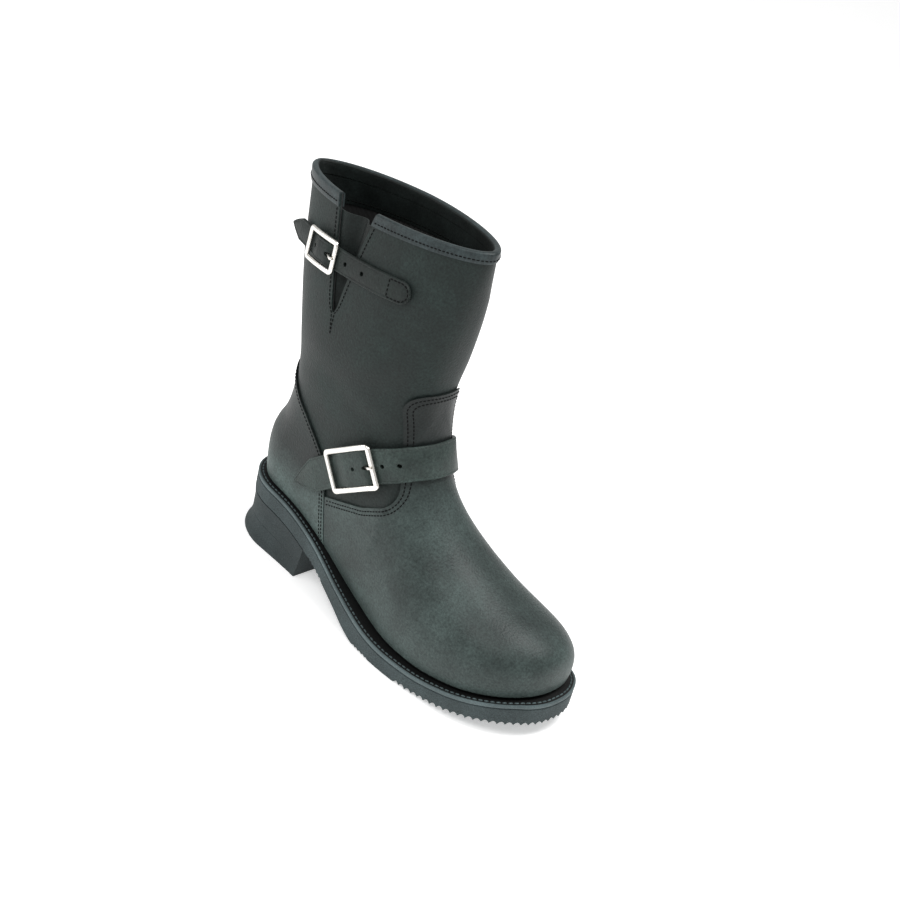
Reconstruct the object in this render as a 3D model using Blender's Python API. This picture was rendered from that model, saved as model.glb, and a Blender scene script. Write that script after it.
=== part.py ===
"""Engineer boot for the right foot, as separate solids in metres.

The boot stands on its sole, with +X to the toe, +Y to the medial side and +Z up. The lateral side,
which has both buckles, looks along -Y. Upper, overlays, binding, gusset and insole come from one
function, skin_points, the outside of the upper over the last. Straps and buckles are built along a
StrapPath, in distances along the strap, across it and off the leather.
"""
from collections import namedtuple
import math

import bmesh
import bpy
from mathutils import Vector
from mathutils.bvhtree import BVHTree
import numpy as np

# Place of the back of the feather line, which centres the boot's box on the origin
BACK_X = -0.1415
MID_Y = -0.0095

# Thicknesses and gaps
GAP = 0.0003
UPPER_WALL = 0.0022
OVERLAY = 0.0016
BINDING = 0.0011
GUSSET = 0.0013
WELT = 0.0030
INSOLE_OVER_FEATHER = 0.0030
INSOLE_INSET = 0.0029
WELT_INSET = 0.0025

# Straight lines in side view from the back of the boot to its front, from the feather line up to
# the collar. leg is the share of the section that is shaft and not foot.
Section = namedtuple("Section", "back_x back_z front_x front_z half_width leg")
SECTIONS = [
    Section(0.0022, 0.0520, 0.2915, 0.0303, 0.034, 0.00),
    Section(0.0012, 0.0617, 0.2925, 0.0428, 0.034, 0.00),
    Section(0.0003, 0.0704, 0.2892, 0.0582, 0.034, 0.00),
    Section(0.0000, 0.0781, 0.2710, 0.0678, 0.034, 0.00),
    Section(0.0004, 0.0848, 0.2425, 0.0754, 0.034, 0.00),
    Section(0.0018, 0.0926, 0.2135, 0.0866, 0.034, 0.00),
    Section(0.0052, 0.1013, 0.1878, 0.1034, 0.034, 0.15),
    Section(0.0106, 0.1110, 0.1663, 0.1258, 0.034, 0.35),
    Section(0.0150, 0.1227, 0.1541, 0.1497, 0.035, 0.60),
    Section(0.0182, 0.1374, 0.1488, 0.1732, 0.037, 0.80),
    Section(0.0180, 0.1553, 0.1488, 0.1955, 0.039, 0.95),
    Section(0.0148, 0.1821, 0.1520, 0.2188, 0.042, 1.00),
    Section(0.0035, 0.2210, 0.1566, 0.2500, 0.040, 1.00),
    Section(-0.0068, 0.2587, 0.1590, 0.2794, 0.036, 1.00),
    Section(-0.0165, 0.2942, 0.1612, 0.3072, 0.032, 1.00),
]
WIDEST = 1
COLLAR = len(SECTIONS) - 1

# Half widths of the foot, measured from the back of a foot of PLAN_LENGTH
PlanRow = namedtuple("PlanRow", "x lateral medial")
FOOT_PLAN = [
    PlanRow(0.000, 0.0240, 0.0245),
    PlanRow(0.035, 0.0255, 0.0255),
    PlanRow(0.075, 0.0276, 0.0262),
    PlanRow(0.110, 0.0305, 0.0261),
    PlanRow(0.150, 0.0370, 0.0330),
    PlanRow(0.185, 0.0446, 0.0426),
    PlanRow(0.215, 0.0472, 0.0469),
    PlanRow(0.245, 0.0462, 0.0459),
    PlanRow(0.291, 0.0430, 0.0419),
]
PLAN_LENGTH = 0.291
HEEL_ROUND, HEEL_POWER = 0.032, 2.1
TOE_ROUND, TOE_POWER = 0.058, 2.35
CROWN_POWER = 2.2
LEG_POWER, COLLAR_POWER = 2.3, 1.8
POWER_FALLS_FROM = 12.6
INFLARE, INFLARE_FROM, INFLARE_OVER = 0.0210, 0.100, 0.190
TUCK = 0.06

# Height of the feather line: heel height, arch, ball and toe spring
HeightRow = namedtuple("HeightRow", "x z")
FEATHER = [
    HeightRow(0.000, 0.0522),
    HeightRow(0.060, 0.0492),
    HeightRow(0.095, 0.0405),
    HeightRow(0.130, 0.0278),
    HeightRow(0.165, 0.0181),
    HeightRow(0.195, 0.0151),
    HeightRow(0.215, 0.0151),
    HeightRow(0.245, 0.0190),
    HeightRow(0.291, 0.0295),
]

# Underside of the sole: the ball stands on the ground from its flat stretch
TREAD = [
    HeightRow(0.000, 0.0359),
    HeightRow(0.060, 0.0329),
    HeightRow(0.095, 0.0242),
    HeightRow(0.130, 0.0112),
    HeightRow(0.147, 0.0036),
    HeightRow(0.162, 0.0000),
    HeightRow(0.215, 0.0000),
    HeightRow(0.245, 0.0030),
    HeightRow(0.291, 0.0112),
]

# How far the welt and the sole reach out from the feather line
ReachRow = namedtuple("ReachRow", "x reach")
REACH = [
    ReachRow(0.000, 0.0082),
    ReachRow(0.095, 0.0086),
    ReachRow(0.130, 0.0112),
    ReachRow(0.160, 0.0124),
    ReachRow(0.190, 0.0108),
    ReachRow(0.225, 0.0090),
    ReachRow(0.291, 0.0094),
]

# Grid of the upper: sections for its rows, and columns round it from one slit edge to the other
FOOT_ROWS = [0, 0.4, 0.8, 1.3, 1.9, 2.6, 3.3, 4.0, 4.7, 5.5, 6.3, 7.1, 8.0, 8.9, 9.8, 10.6, 11.2]
SLIT_ROWS = [11.75, 11.81, 12.0, 12.5, 13.1]
BAND_ROW = 13.76
COLUMNS = 38
OVERLAY_FOOT = 0.2
OVERLAY_TOP = 10.6

# Slit in the lateral side of the shaft, as angles round the last
SLIT_CENTRE, SLIT_CENTRE_TOP = math.radians(80.4), math.radians(83.0)
SLIT_HALF, SLIT_HALF_TOP = math.radians(1.7), math.radians(13.0)
SLIT_ROUND = 0.06
GUSSET_MARGIN = math.radians(7)
GUSSET_FOLD = 0.005

# Side views of the vamp with its tongue and of the counter: corners with their radii
Corner = namedtuple("Corner", "x z radius")
VAMP_SIDE = [
    Corner(0.3300, 0.0000, 0),
    Corner(0.3300, 0.2287, 0),
    Corner(0.1480, 0.1955, 0),
    Corner(0.1362, 0.1893, 0.0135),
    Corner(0.1440, 0.1560, 0.030),
    Corner(0.1555, 0.1130, 0.016),
    Corner(0.1275, 0.0960, 0.045),
    Corner(0.0885, 0.0797, 0),
    Corner(0.1100, 0.0000, 0),
]
COUNTER_SIDE = [
    Corner(-0.0500, 0.0000, 0),
    Corner(0.1088, 0.0000, 0),
    Corner(0.0873, 0.0792, 0),
    Corner(0.0800, 0.1047, 0),
    Corner(0.0520, 0.1317, 0.050),
    Corner(0.0280, 0.1487, 0.030),
    Corner(0.0050, 0.1687, 0),
    Corner(-0.0500, 0.1837, 0),
]
ARC_STEPS = 5

# Sole: rim teeth from the ball round the toe, heel block with a slanted breast
TEETH_FROM = 0.150
TOOTH_PITCH, TOOTH_DEPTH, TOOTH_INWARD, TOOTH_ROOM = 0.0056, 0.0022, 0.0065, 0.0035
PLAIN_PITCH = 0.0100
HEEL_LENGTH, BREAST_SLANT = 0.0820, 0.0047
HeelLevel = namedtuple("HeelLevel", "share reach")
HEEL_LEVELS = [
    HeelLevel(1.00, 0.0000),
    HeelLevel(0.75, -0.0010),
    HeelLevel(0.45, -0.0010),
    HeelLevel(0.20, 0.0010),
    HeelLevel(0.07, 0.0030),
    HeelLevel(0.00, 0.0032),
]
HEEL_COLUMNS = 22

# Straps: the line of each in side view, its stretch round the last, and its own sizes
Strap = namedtuple("Strap", "low_x low_z high_x high_z first last over width thick lead point rounded")
INSTEP_STRAP = Strap(0.0530, 0.0737, 0.1500, 0.1452, 53, 277, GAP + OVERLAY, 0.0250, 0.0024, 0.0, 0.026, 0)
SHAFT_STRAP = Strap(0.0100, 0.2562, 0.1180, 0.2648, 52, 128.5, 0.0, 0.0160, 0.0022, 0.032, 0.014, 1)
# How far the instep strap's line lies above its straight line in side view, by angle in degrees
BendRow = namedtuple("BendRow", "angle above")
STRAP_BEND = [
    BendRow(53, -0.0015),
    BendRow(85, 0.0022),
    BendRow(115, 0.0026),
    BendRow(150, -0.0005),
    BendRow(180, -0.0036),
    BendRow(215, -0.0030),
    BendRow(277, 0.0000),
]
STRAP_LIFT = 0.0008
STRAP_UNDER = 0.0002
STRAP_STEP = 0.0052
TIP_BLUNT, TIP_POWER = 0.12, 0.7

# Buckles: centre along the strap, frame between its bars' middle lines, and the hole in use
Buckle = namedtuple("Buckle", "at length width bar corner hole pitch holes")
INSTEP_BUCKLE = Buckle(0.0750, 0.0450, 0.0292, 0.0017, 0.0030, 0.0168, 0.0125, 3)
SHAFT_BUCKLE = Buckle(0.0510, 0.0315, 0.0210, 0.0015, 0.0025, 0.0090, 0.0170, 3)
BAR_SIDES = 6
CENTRE_BAR = 0.0014
BAR_BEND = 0.0008
PRONG = 0.0011
HOLE = 0.0018
SLOT = 0.0036
RISE_TOP = 0.0020


def spline_rows(t, rows):
    """Smooth curve through the rows of a table, with row i at t = i."""
    knots = np.array(rows, float)
    last = len(knots) - 1
    t = np.clip(np.asarray(t, float), 0, last)
    i = np.minimum(t.astype(int), last - 1)
    f = (t - i)[..., None]
    ends = np.vstack([2 * knots[0] - knots[1], knots, 2 * knots[-1] - knots[-2]])
    a, b, c, d = ends[i], ends[i + 1], ends[i + 2], ends[i + 3]
    return 0.5 * (2 * b + (c - a) * f + (2 * a - 5 * b + 4 * c - d) * f**2 + (3 * b - a - 3 * c + d) * f**3)


def curve_at(x, table):
    """Smooth values at x from a table whose first column is x."""
    rows = np.array(table, float)
    xs, ys = rows[:, 0], rows[:, 1:]
    steps = np.diff(xs)[:, None]
    slopes = np.diff(ys, axis=0) / steps
    inner = (slopes[:-1] * steps[1:] + slopes[1:] * steps[:-1]) / (steps[:-1] + steps[1:])
    inner[slopes[:-1] * slopes[1:] <= 0] = 0
    tangents = np.vstack([slopes[:1], inner, slopes[-1:]])
    x = np.clip(x, xs[0], xs[-1])
    i = np.clip(np.searchsorted(xs, x) - 1, 0, len(xs) - 2)
    h = steps[i]
    t = (x - xs[i])[..., None] / h
    value = (2 * t**3 - 3 * t**2 + 1) * ys[i] + (3 * t**2 - 2 * t**3) * ys[i + 1]
    return value + (t**3 - 2 * t**2 + t) * h * tangents[i] + (t**3 - t**2) * h * tangents[i + 1]


def feather_height(x):
    return curve_at(x, FEATHER)[..., 0]


def section_height(row, x, v):
    """Height at x of the section v: straight high up, and as curved as the feather line low down."""
    share = (x - row[..., 0]) / (row[..., 2] - row[..., 0])
    straight = (1 - share) * row[..., 1] + share * row[..., 3]
    low = np.clip(1 - v / 6, 0, 1) ** 1.5
    chord = (1 - share) * feather_height(row[..., 0]) + share * feather_height(row[..., 2])
    return straight + low * (feather_height(x) - chord)


def ridge_height(x):
    """Height of the top line of toe and instep at x."""
    front = spline_rows(np.linspace(10, WIDEST, 120), SECTIONS)
    xs, zs = front[:, 2], front[:, 3]
    return np.where(x < xs[0], zs[0] + 3 * (xs[0] - x), np.interp(x, xs, zs))


def foot_half_widths(x, length):
    """Lateral and medial half widths at x from the back of a foot of this length."""
    widths = curve_at(x * PLAN_LENGTH / length, FOOT_PLAN)
    behind = np.clip(1 - x / HEEL_ROUND, 0, 1)
    ahead = np.clip((x - length + TOE_ROUND) / TOE_ROUND, 0, 1)
    rounding = (1 - behind**HEEL_POWER) ** (1 / HEEL_POWER) * (1 - ahead**TOE_POWER) ** (1 / TOE_POWER)
    return widths * rounding[..., None]


def last_points(v, phi):
    """Outside of the upper at section v and angle phi, which runs from the back over the lateral side."""
    v, phi = np.broadcast_arrays(np.asarray(v, float), np.asarray(phi, float))
    row = spline_rows(v, SECTIONS)
    back_x, front_x, half_width = row[..., 0], row[..., 2], row[..., 4]
    leg = np.clip(row[..., 5], 0, 1)
    along = (1 - np.cos(phi)) / 2
    x = back_x + along * (front_x - back_x)
    z = section_height(row, x, v)
    length = np.where(v <= WIDEST, front_x, SECTIONS[WIDEST].front_x) - back_x
    widths = foot_half_widths(np.clip(x - back_x, 0, length), length)
    base = section_height(spline_rows(np.full_like(v, WIDEST), SECTIONS), x, np.full_like(v, WIDEST))
    rise = np.clip((z - base) / np.maximum(ridge_height(x) - base, 1e-6), 0, 1)
    tucked = 1 - TUCK * (1 - v / WIDEST) ** 2
    crown = np.where(v <= WIDEST, tucked, np.sqrt(1 - rise**CROWN_POWER))
    lateral = np.sin(phi) >= 0
    foot = np.where(lateral, widths[..., 0], widths[..., 1]) * crown
    falls = np.clip((v - POWER_FALLS_FROM) / (COLLAR - POWER_FALLS_FROM), 0, 1)
    power = LEG_POWER + (COLLAR_POWER - LEG_POWER) * falls
    shaft = half_width * (1 - np.abs(2 * along - 1) ** power) ** (1 / power)
    half = (1 - leg) * foot + leg * shaft
    bend = INFLARE * np.clip((x - INFLARE_FROM) / INFLARE_OVER, 0, 1) ** 1.5 * (1 - leg)
    y = bend + np.where(lateral, -half, half)
    return np.stack([x + BACK_X, y + MID_Y, z], -1)


def skin_points(v, phi, offset):
    """Points off the outside of the upper, outward where offset is above 0."""
    v, phi = np.broadcast_arrays(np.asarray(v, float), np.asarray(phi, float))
    dv, dphi = 0.05, 0.02
    up = last_points(v + dv, phi) - last_points(v - dv, phi)
    round_it = last_points(v, phi + dphi) - last_points(v, phi - dphi)
    normal = np.cross(round_it, up)
    normal /= np.linalg.norm(normal, axis=-1, keepdims=True)
    return last_points(v, phi) + offset * normal


def slit_share(v):
    """0 at the foot of the slit and below it, 1 at the collar."""
    return np.clip((v - SLIT_ROWS[0]) / (COLLAR - SLIT_ROWS[0]), 0, 1)


def slit_edges(v):
    """Angles of the slit's front and back edge at section v, which meet at its foot."""
    share = slit_share(v)
    centre = SLIT_CENTRE + (SLIT_CENTRE_TOP - SLIT_CENTRE) * share
    half = SLIT_HALF * np.sqrt(np.minimum(share / SLIT_ROUND, 1)) + (SLIT_HALF_TOP - SLIT_HALF) * share
    return centre + half, centre - half


def upper_grid(rows, offset):
    """Grid of points off the last, its columns running from the slit's front edge round to its back edge."""
    v = np.array(rows, float)[:, None]
    front, back = slit_edges(v)
    share = np.linspace(0, 1, COLUMNS + 1)[None]
    return skin_points(v, front + share * (2 * math.pi + back - front), offset)


def finish(name, colour, roughness, metallic):
    """One material in plain values."""
    material = bpy.data.materials.new(name)
    material.use_nodes = True
    shader = material.node_tree.nodes["Principled BSDF"]
    shader.inputs["Base Color"].default_value = (*colour, 1)
    shader.inputs["Roughness"].default_value = roughness
    shader.inputs["Metallic"].default_value = metallic
    return material


def solid(name, points, faces, material, smooth=40):
    """Object from points and faces, welded, facing out, and smooth where its faces meet flatly."""
    mesh = bpy.data.meshes.new(name)
    mesh.from_pydata([tuple(point) for point in points], [], faces)
    work = bmesh.new()
    work.from_mesh(mesh)
    bmesh.ops.remove_doubles(work, verts=work.verts, dist=1e-6)
    bmesh.ops.recalc_face_normals(work, faces=work.faces)
    if work.calc_volume(signed=True) < 0:
        bmesh.ops.reverse_faces(work, faces=work.faces)
    work.to_mesh(mesh)
    work.free()
    mesh.shade_smooth()
    mesh.set_sharp_from_angle(angle=math.radians(smooth))
    made = bpy.data.objects.new(name, mesh)
    bpy.context.scene.collection.objects.link(made)
    mesh.materials.append(material)
    return made


def cell(a, b, c, d):
    """Two triangles for a four-sided cell, always cut along the same diagonal."""
    return [(a, b, c), (a, c, d)]


def sheet_solid(name, outer, inner, material, open_from=0):
    """Solid between two grids. Below row open_from their first and last columns are one line."""
    rows, columns = outer.shape[:2]
    size = rows * columns
    faces = []
    for i in range(rows - 1):
        for j in range(columns - 1):
            a, b = i * columns + j, i * columns + j + 1
            c, d = b + columns, a + columns
            faces += cell(a, b, c, d) + cell(a + size, b + size, c + size, d + size)
    for i in (0, rows - 1):
        for j in range(columns - 1):
            a = i * columns + j
            faces += cell(a, a + 1, a + 1 + size, a + size)
    for j in (0, columns - 1):
        for i in range(open_from, rows - 1):
            a = i * columns + j
            faces += cell(a, a + columns, a + columns + size, a + size)
    return solid(name, np.vstack([outer.reshape(-1, 3), inner.reshape(-1, 3)]), faces, material)


def ring_solid(name, rings, material, smooth=40):
    """Solid through closed rings with equal counts. Its two ends are closed straight across."""
    count = len(rings[0])
    points = np.vstack(rings)
    faces = []
    for i in range(len(rings) - 1):
        for j in range(count):
            k = (j + 1) % count
            faces += cell(i * count + j, i * count + k, (i + 1) * count + k, (i + 1) * count + j)
    for start in (0, (len(rings) - 1) * count):
        faces.append((start, start + 1, start + count - 1))
        for j in range(1, (count - 1) // 2):
            faces += cell(start + j, start + j + 1, start + count - j - 1, start + count - j)
        if count % 2 == 0:
            half = start + count // 2
            faces.append((half - 1, half, half + 1))
    return solid(name, points, faces, material, smooth)


def band_solid(name, sections, material, closed):
    """Solid swept through sections of equal counts, either closed in a loop or with flat ends."""
    total, count = sections.shape[:2]
    faces = []
    for i in range(total if closed else total - 1):
        k = (i + 1) % total
        for j in range(count):
            m = (j + 1) % count
            faces += cell(i * count + j, i * count + m, k * count + m, k * count + j)
    if not closed:
        faces += [tuple(range(count)), tuple(range((total - 1) * count, total * count))]
    return solid(name, sections.reshape(-1, 3), faces, material)


def apply_boolean(target, cutter, operation):
    """Keeps the result in target's own mesh and removes the cutter."""
    modifier = target.modifiers.new("cut", "BOOLEAN")
    modifier.operation = operation
    modifier.solver = "EXACT"
    modifier.object = cutter
    graph = bpy.context.evaluated_depsgraph_get()
    mesh = bpy.data.meshes.new_from_object(target.evaluated_get(graph))
    target.modifiers.remove(modifier)
    target.data = mesh
    bpy.data.objects.remove(cutter)


def rounded_outline(corners):
    """Corner points with each corner that has a radius turned into an arc."""
    outline = []
    for i, corner in enumerate(corners):
        here = Vector((corner.x, corner.z))
        before = (Vector(corners[i - 1][:2]) - here).normalized()
        after = (Vector(corners[(i + 1) % len(corners)][:2]) - here).normalized()
        if not corner.radius:
            outline.append(here)
            continue
        half = before.angle(after) / 2
        centre = here + (before + after).normalized() * corner.radius / math.sin(half)
        start = here + before * corner.radius / math.tan(half) - centre
        end = here + after * corner.radius / math.tan(half) - centre
        for step in range(ARC_STEPS + 1):
            outline.append(centre + corner.radius * start.slerp(end, step / ARC_STEPS))
    return outline


def cut_overlay(name, corners, material):
    """Overlay of the upper inside a side view: a second skin, 0.3 mm off the first, cut by a prism."""
    rows = [OVERLAY_FOOT] + [row for row in FOOT_ROWS if 0 < row <= OVERLAY_TOP]
    overlay = sheet_solid(name, upper_grid(rows, GAP + OVERLAY), upper_grid(rows, GAP), material, len(rows))
    outline = rounded_outline(corners)
    sides = [[(x + BACK_X, y, z) for x, z in outline] for y in (-0.1, 0.1)]
    count = len(outline)
    faces = [tuple(range(count)), tuple(range(count, 2 * count))]
    faces += [(i, (i + 1) % count, (i + 1) % count + count, i + count) for i in range(count)]
    prism = solid("prism", np.array(sides).reshape(-1, 3), faces, material)
    apply_boolean(overlay, prism, "INTERSECT")
    return overlay


def feather_outline(phi, reach):
    """Feather line at angles phi, moved out in plan by reach, with its height left out."""
    step = 0.01
    here, after, before = (last_points(0, phi + d)[..., :2] for d in (0, step, -step))
    along = after - before
    normal = np.stack([along[..., 1], -along[..., 0]], -1)
    normal /= np.linalg.norm(normal, axis=-1, keepdims=True)
    return here + np.broadcast_to(reach, np.shape(phi))[..., None] * normal


def sole_outline(phi, further=0.0):
    """Outline of welt and sole in plan, moved out by further."""
    reach = curve_at(last_points(0, phi)[..., 0] - BACK_X, REACH)[..., 0]
    return feather_outline(phi, reach + further)


def at_height(outline, lower):
    """Outline in plan laid lower below the feather line's height."""
    return np.column_stack([outline, feather_height(outline[:, 0] - BACK_X) - lower])


def over_tread(outline, above):
    """Outline in plan laid above the sole's underside."""
    return np.column_stack([outline, curve_at(outline[:, 0] - BACK_X, TREAD)[:, 0] + above])


def make_upper(material):
    rows = FOOT_ROWS + SLIT_ROWS + [BAND_ROW, COLLAR]
    return sheet_solid("upper", upper_grid(rows, 0), upper_grid(rows, -UPPER_WALL), material, len(FOOT_ROWS))


def make_gusset(material):
    """Leather behind the slit, folded inward most at its top."""
    v = np.linspace(SLIT_ROWS[0] - 0.25, BAND_ROW - 0.05, 8)[:, None]
    front, back = slit_edges(v)
    across = np.linspace(0, 1, 9)[None]
    phi = back - GUSSET_MARGIN + across * (front - back + 2 * GUSSET_MARGIN)
    inside = np.clip((across - 0.25) / 0.5, 0, 1)
    fold = GUSSET_FOLD * np.sin(math.pi * inside) ** 2 * slit_share(v)
    near = UPPER_WALL + GAP + fold[..., None]
    return sheet_solid("gusset", skin_points(v, phi, -near), skin_points(v, phi, -near - GUSSET), material)


def make_binding(material):
    """Leather binding folded over the collar, from one slit edge round to the other."""
    rows = [BAND_ROW, COLLAR]
    levels = {offset: upper_grid(rows, offset) for offset in (
        GAP, GAP + BINDING, -UPPER_WALL - GAP, -UPPER_WALL - GAP - BINDING)}
    out_near, out_far, in_near, in_far = levels.values()
    up = out_near[1] - out_near[0]
    up /= np.linalg.norm(up, axis=-1, keepdims=True)
    low, high = GAP * up, (GAP + BINDING) * up
    section = [out_near[0], out_far[0], out_far[1] + high * 0.5, (out_far[1] + out_near[1]) / 2 + high,
               (in_far[1] + in_near[1]) / 2 + high, in_far[1] + high * 0.5, in_far[0], in_near[0],
               in_near[1] + low, out_near[1] + low]
    return band_solid("collar_binding", np.stack(section, 1), material, False)


def make_insole(material):
    phi = np.linspace(0, 2 * math.pi, 2 * COLUMNS, endpoint=False)
    outline = feather_outline(phi, -INSOLE_INSET)
    rings = [at_height(outline, -INSOLE_OVER_FEATHER), at_height(outline, GAP + WELT)]
    return ring_solid("insole", rings, material)


def make_welt(material):
    """Flat strip all round the boot, seated under the upper's edge."""
    phi = np.linspace(0, 2 * math.pi, 2 * COLUMNS, endpoint=False)
    inner, outer = feather_outline(phi, -WELT_INSET), sole_outline(phi)
    top, bottom = GAP, GAP + WELT
    sections = [at_height(outer, top), at_height(outer, bottom),
                at_height(inner, bottom), at_height(inner, top)]
    return band_solid("welt", np.stack(sections, 1), material, True)


def rim_angles():
    """Angles round the sole's rim: a pair for each tooth and its valley, and wider steps behind them."""
    fine = np.linspace(0, math.pi, 721)
    halves = []
    for side in (1, -1):
        line = sole_outline(side * fine)
        distance = np.concatenate([[0], np.cumsum(np.linalg.norm(np.diff(line, axis=0), axis=1))])
        start = np.interp(TEETH_FROM + BACK_X, line[:, 0], distance)
        halves.append((distance, start))
    teeth = round((halves[0][0][-1] - halves[0][1]) / TOOTH_PITCH)
    plain = round(halves[0][1] / PLAIN_PITCH)
    angles = []
    for distance, start in halves:
        places = np.concatenate([np.linspace(0, start, plain, endpoint=False),
                                 np.linspace(start, distance[-1], 2 * teeth + 1)])
        angles.append(np.interp(places, distance, fine))
    lateral, medial = angles
    valley = np.arange(len(lateral)) >= plain
    valley &= (np.arange(len(lateral)) - plain) % 2 == 1
    phi = np.concatenate([lateral, 2 * math.pi - medial[-2:0:-1]])
    return phi, np.concatenate([valley, valley[-2:0:-1]])


def make_outsole(material):
    """One plate from heel to toe, toothed round the forefoot, flat on the ground under the ball."""
    phi, valley = rim_angles()
    top = GAP + WELT + GAP
    rim = sole_outline(phi)
    half = len(phi) // 2
    even = phi.copy()
    even[1:half] = (phi[1:half] + 2 * math.pi - phi[:half:-1]) / 2
    even[:half:-1] = 2 * math.pi - even[1:half]
    seat, tread = feather_outline(even, -WELT_INSET), sole_outline(even, -TOOTH_INWARD)
    rings = [at_height(seat, top), at_height(rim, top), over_tread(rim, TOOTH_ROOM),
             over_tread(rim, TOOTH_DEPTH * valley), over_tread(tread, 0)]
    return ring_solid("outsole", rings, material, 30)


def make_heel(material):
    """Stacked block under the back of the sole, drawn in above and flared at the ground."""
    fine = np.linspace(0, math.pi, 721)
    rings = []
    for level in HEEL_LEVELS:
        breast = HEEL_LENGTH - BREAST_SLANT * (1 - level.share) + BACK_X
        ends = [np.interp(breast, sole_outline(side * fine)[:, 0], fine) for side in (1, -1)]
        sides = [np.linspace(0, ends[0], HEEL_COLUMNS),
                 2 * math.pi - np.linspace(ends[1], 0, HEEL_COLUMNS)[:-1]]
        plan = sole_outline(np.concatenate(sides), level.reach)
        plan[:, 0] = np.minimum(plan[:, 0], breast)
        ring = over_tread(plan, -GAP)
        ring[:, 2] *= level.share
        rings.append(ring)
    return ring_solid("heel_block", rings, material, 35)


class StrapPath:
    """Line of a strap round the boot, read by distance along it, across it and off the leather."""

    def __init__(self, strap):
        self.strap = strap
        grid_v = np.linspace(0, COLLAR, 141)
        grid_phi = np.linspace(0, 2 * math.pi, 181)
        grid = skin_points(grid_v[:, None], grid_phi[None], strap.over)
        columns = len(grid_phi)
        faces = []
        for i in range(len(grid_v) - 1):
            for j in range(columns - 1):
                a = i * columns + j
                faces.append((a, a + 1, a + columns + 1, a + columns))
        leather = BVHTree.FromPolygons([tuple(point) for point in grid.reshape(-1, 3)], faces)
        run = np.array([strap.high_x - strap.low_x, 0, strap.high_z - strap.low_z])
        run /= np.linalg.norm(run)
        across = np.array([-run[2], 0, run[0]])
        start = np.array([strap.low_x + BACK_X, 0, strap.low_z])
        middles = []
        for angle in np.linspace(strap.first, strap.last, 100):
            line = skin_points(grid_v, math.radians(angle), strap.over)
            bend = 0 if strap.rounded else curve_at(angle, STRAP_BEND)[0]
            side = (line - start) @ across - bend
            i = np.flatnonzero(np.diff(np.sign(side)))[0]
            share = side[i] / (side[i] - side[i + 1])
            middles.append(line[i] + share * (line[i + 1] - line[i]))
        middles = np.array(middles)
        along = np.gradient(middles, axis=0)
        along /= np.linalg.norm(along, axis=1)[:, None]
        outward = np.cross(along, across)
        outward *= np.sign((outward * (middles - middles.mean(0))).sum(1))[:, None]
        self.lines(leather, middles, outward, across)

    def lines(self, leather, middles, outward, across):
        """Lays a straight line across the strap at each place, just clear of the leather."""
        half = self.strap.width / 2
        places = np.linspace(-half, half, 5)
        far = 0.04
        raised, tilts = [], []
        for middle, out in zip(middles, outward):
            heights = []
            for place in places:
                origin = Vector(middle + place * across + far * out)
                distance = leather.ray_cast(origin, Vector(-out))[3]
                heights.append(0 if distance is None else far - distance)
            tilt = (heights[-1] - heights[0]) / (2 * half)
            tilts.append(tilt)
            raised.append(max(h - tilt * place for h, place in zip(heights, places)))
        weights = np.array([1, 2, 3, 2, 1]) / 9
        tilts = np.convolve(np.pad(tilts, 2, "edge"), weights, "valid")
        raised = np.convolve(np.pad(raised, 2, "edge"), weights, "valid") + STRAP_LIFT
        self.origins = middles + raised[:, None] * outward
        self.across = across + tilts[:, None] * outward
        self.across /= np.linalg.norm(self.across, axis=1)[:, None]
        steps = np.linalg.norm(np.diff(self.origins, axis=0), axis=1)
        self.distance = np.concatenate([[0], np.cumsum(steps)]) + self.strap.lead
        self.length = self.distance[-1]
        along = np.gradient(self.origins, axis=0)
        self.out = np.cross(along, self.across)
        self.out *= np.sign((self.out * outward).sum(1))[:, None]
        self.out /= np.linalg.norm(self.out, axis=1)[:, None]

    def place(self, points):
        """World places of points given as (along, across, off the leather)."""
        points = np.asarray(points, float)
        at, across, off = points[..., 0], points[..., 1], points[..., 2]

        def read(values):
            return np.stack([np.interp(at, self.distance, values[:, k]) for k in range(3)], -1)

        first = self.origins[2] - self.origins[0]
        first /= np.linalg.norm(first)
        before = np.minimum(at - self.distance[0], 0)[..., None] * first
        line = read(self.origins) + before
        return line + across[..., None] * read(self.across) + off[..., None] * read(self.out)


def strap_rise(at, buckle):
    """How far the strap's underside lies off its line: up over the centre bar, down under the frame."""
    hump = 2 * CENTRE_BAR + GAP
    front, back = at - buckle.at, buckle.at - at
    reach = buckle.length / 2 - buckle.bar
    ahead = np.clip((reach - front) / (reach - buckle.hole + RISE_TOP), 0, 1)
    behind = np.clip((reach - back) / (reach - RISE_TOP), 0, 1)
    share = np.where(at > buckle.at, ahead, behind)
    return STRAP_UNDER + (hump - STRAP_UNDER) * share**2 * (3 - 2 * share)


def strap_half_width(at, strap, length):
    """Half the width at a place: a point at the free end, and round or square at the sewn end."""
    half = strap.width / 2
    point = np.clip(at / strap.point, 0, 1)
    wide = half * (TIP_BLUNT + (1 - TIP_BLUNT) * point**TIP_POWER)
    if strap.rounded:
        left = np.clip((length - at) / half, 0, 1)
        wide = np.minimum(wide, half * np.sqrt(np.maximum(1 - (1 - left) ** 2, 0.02)))
    return wide


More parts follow.
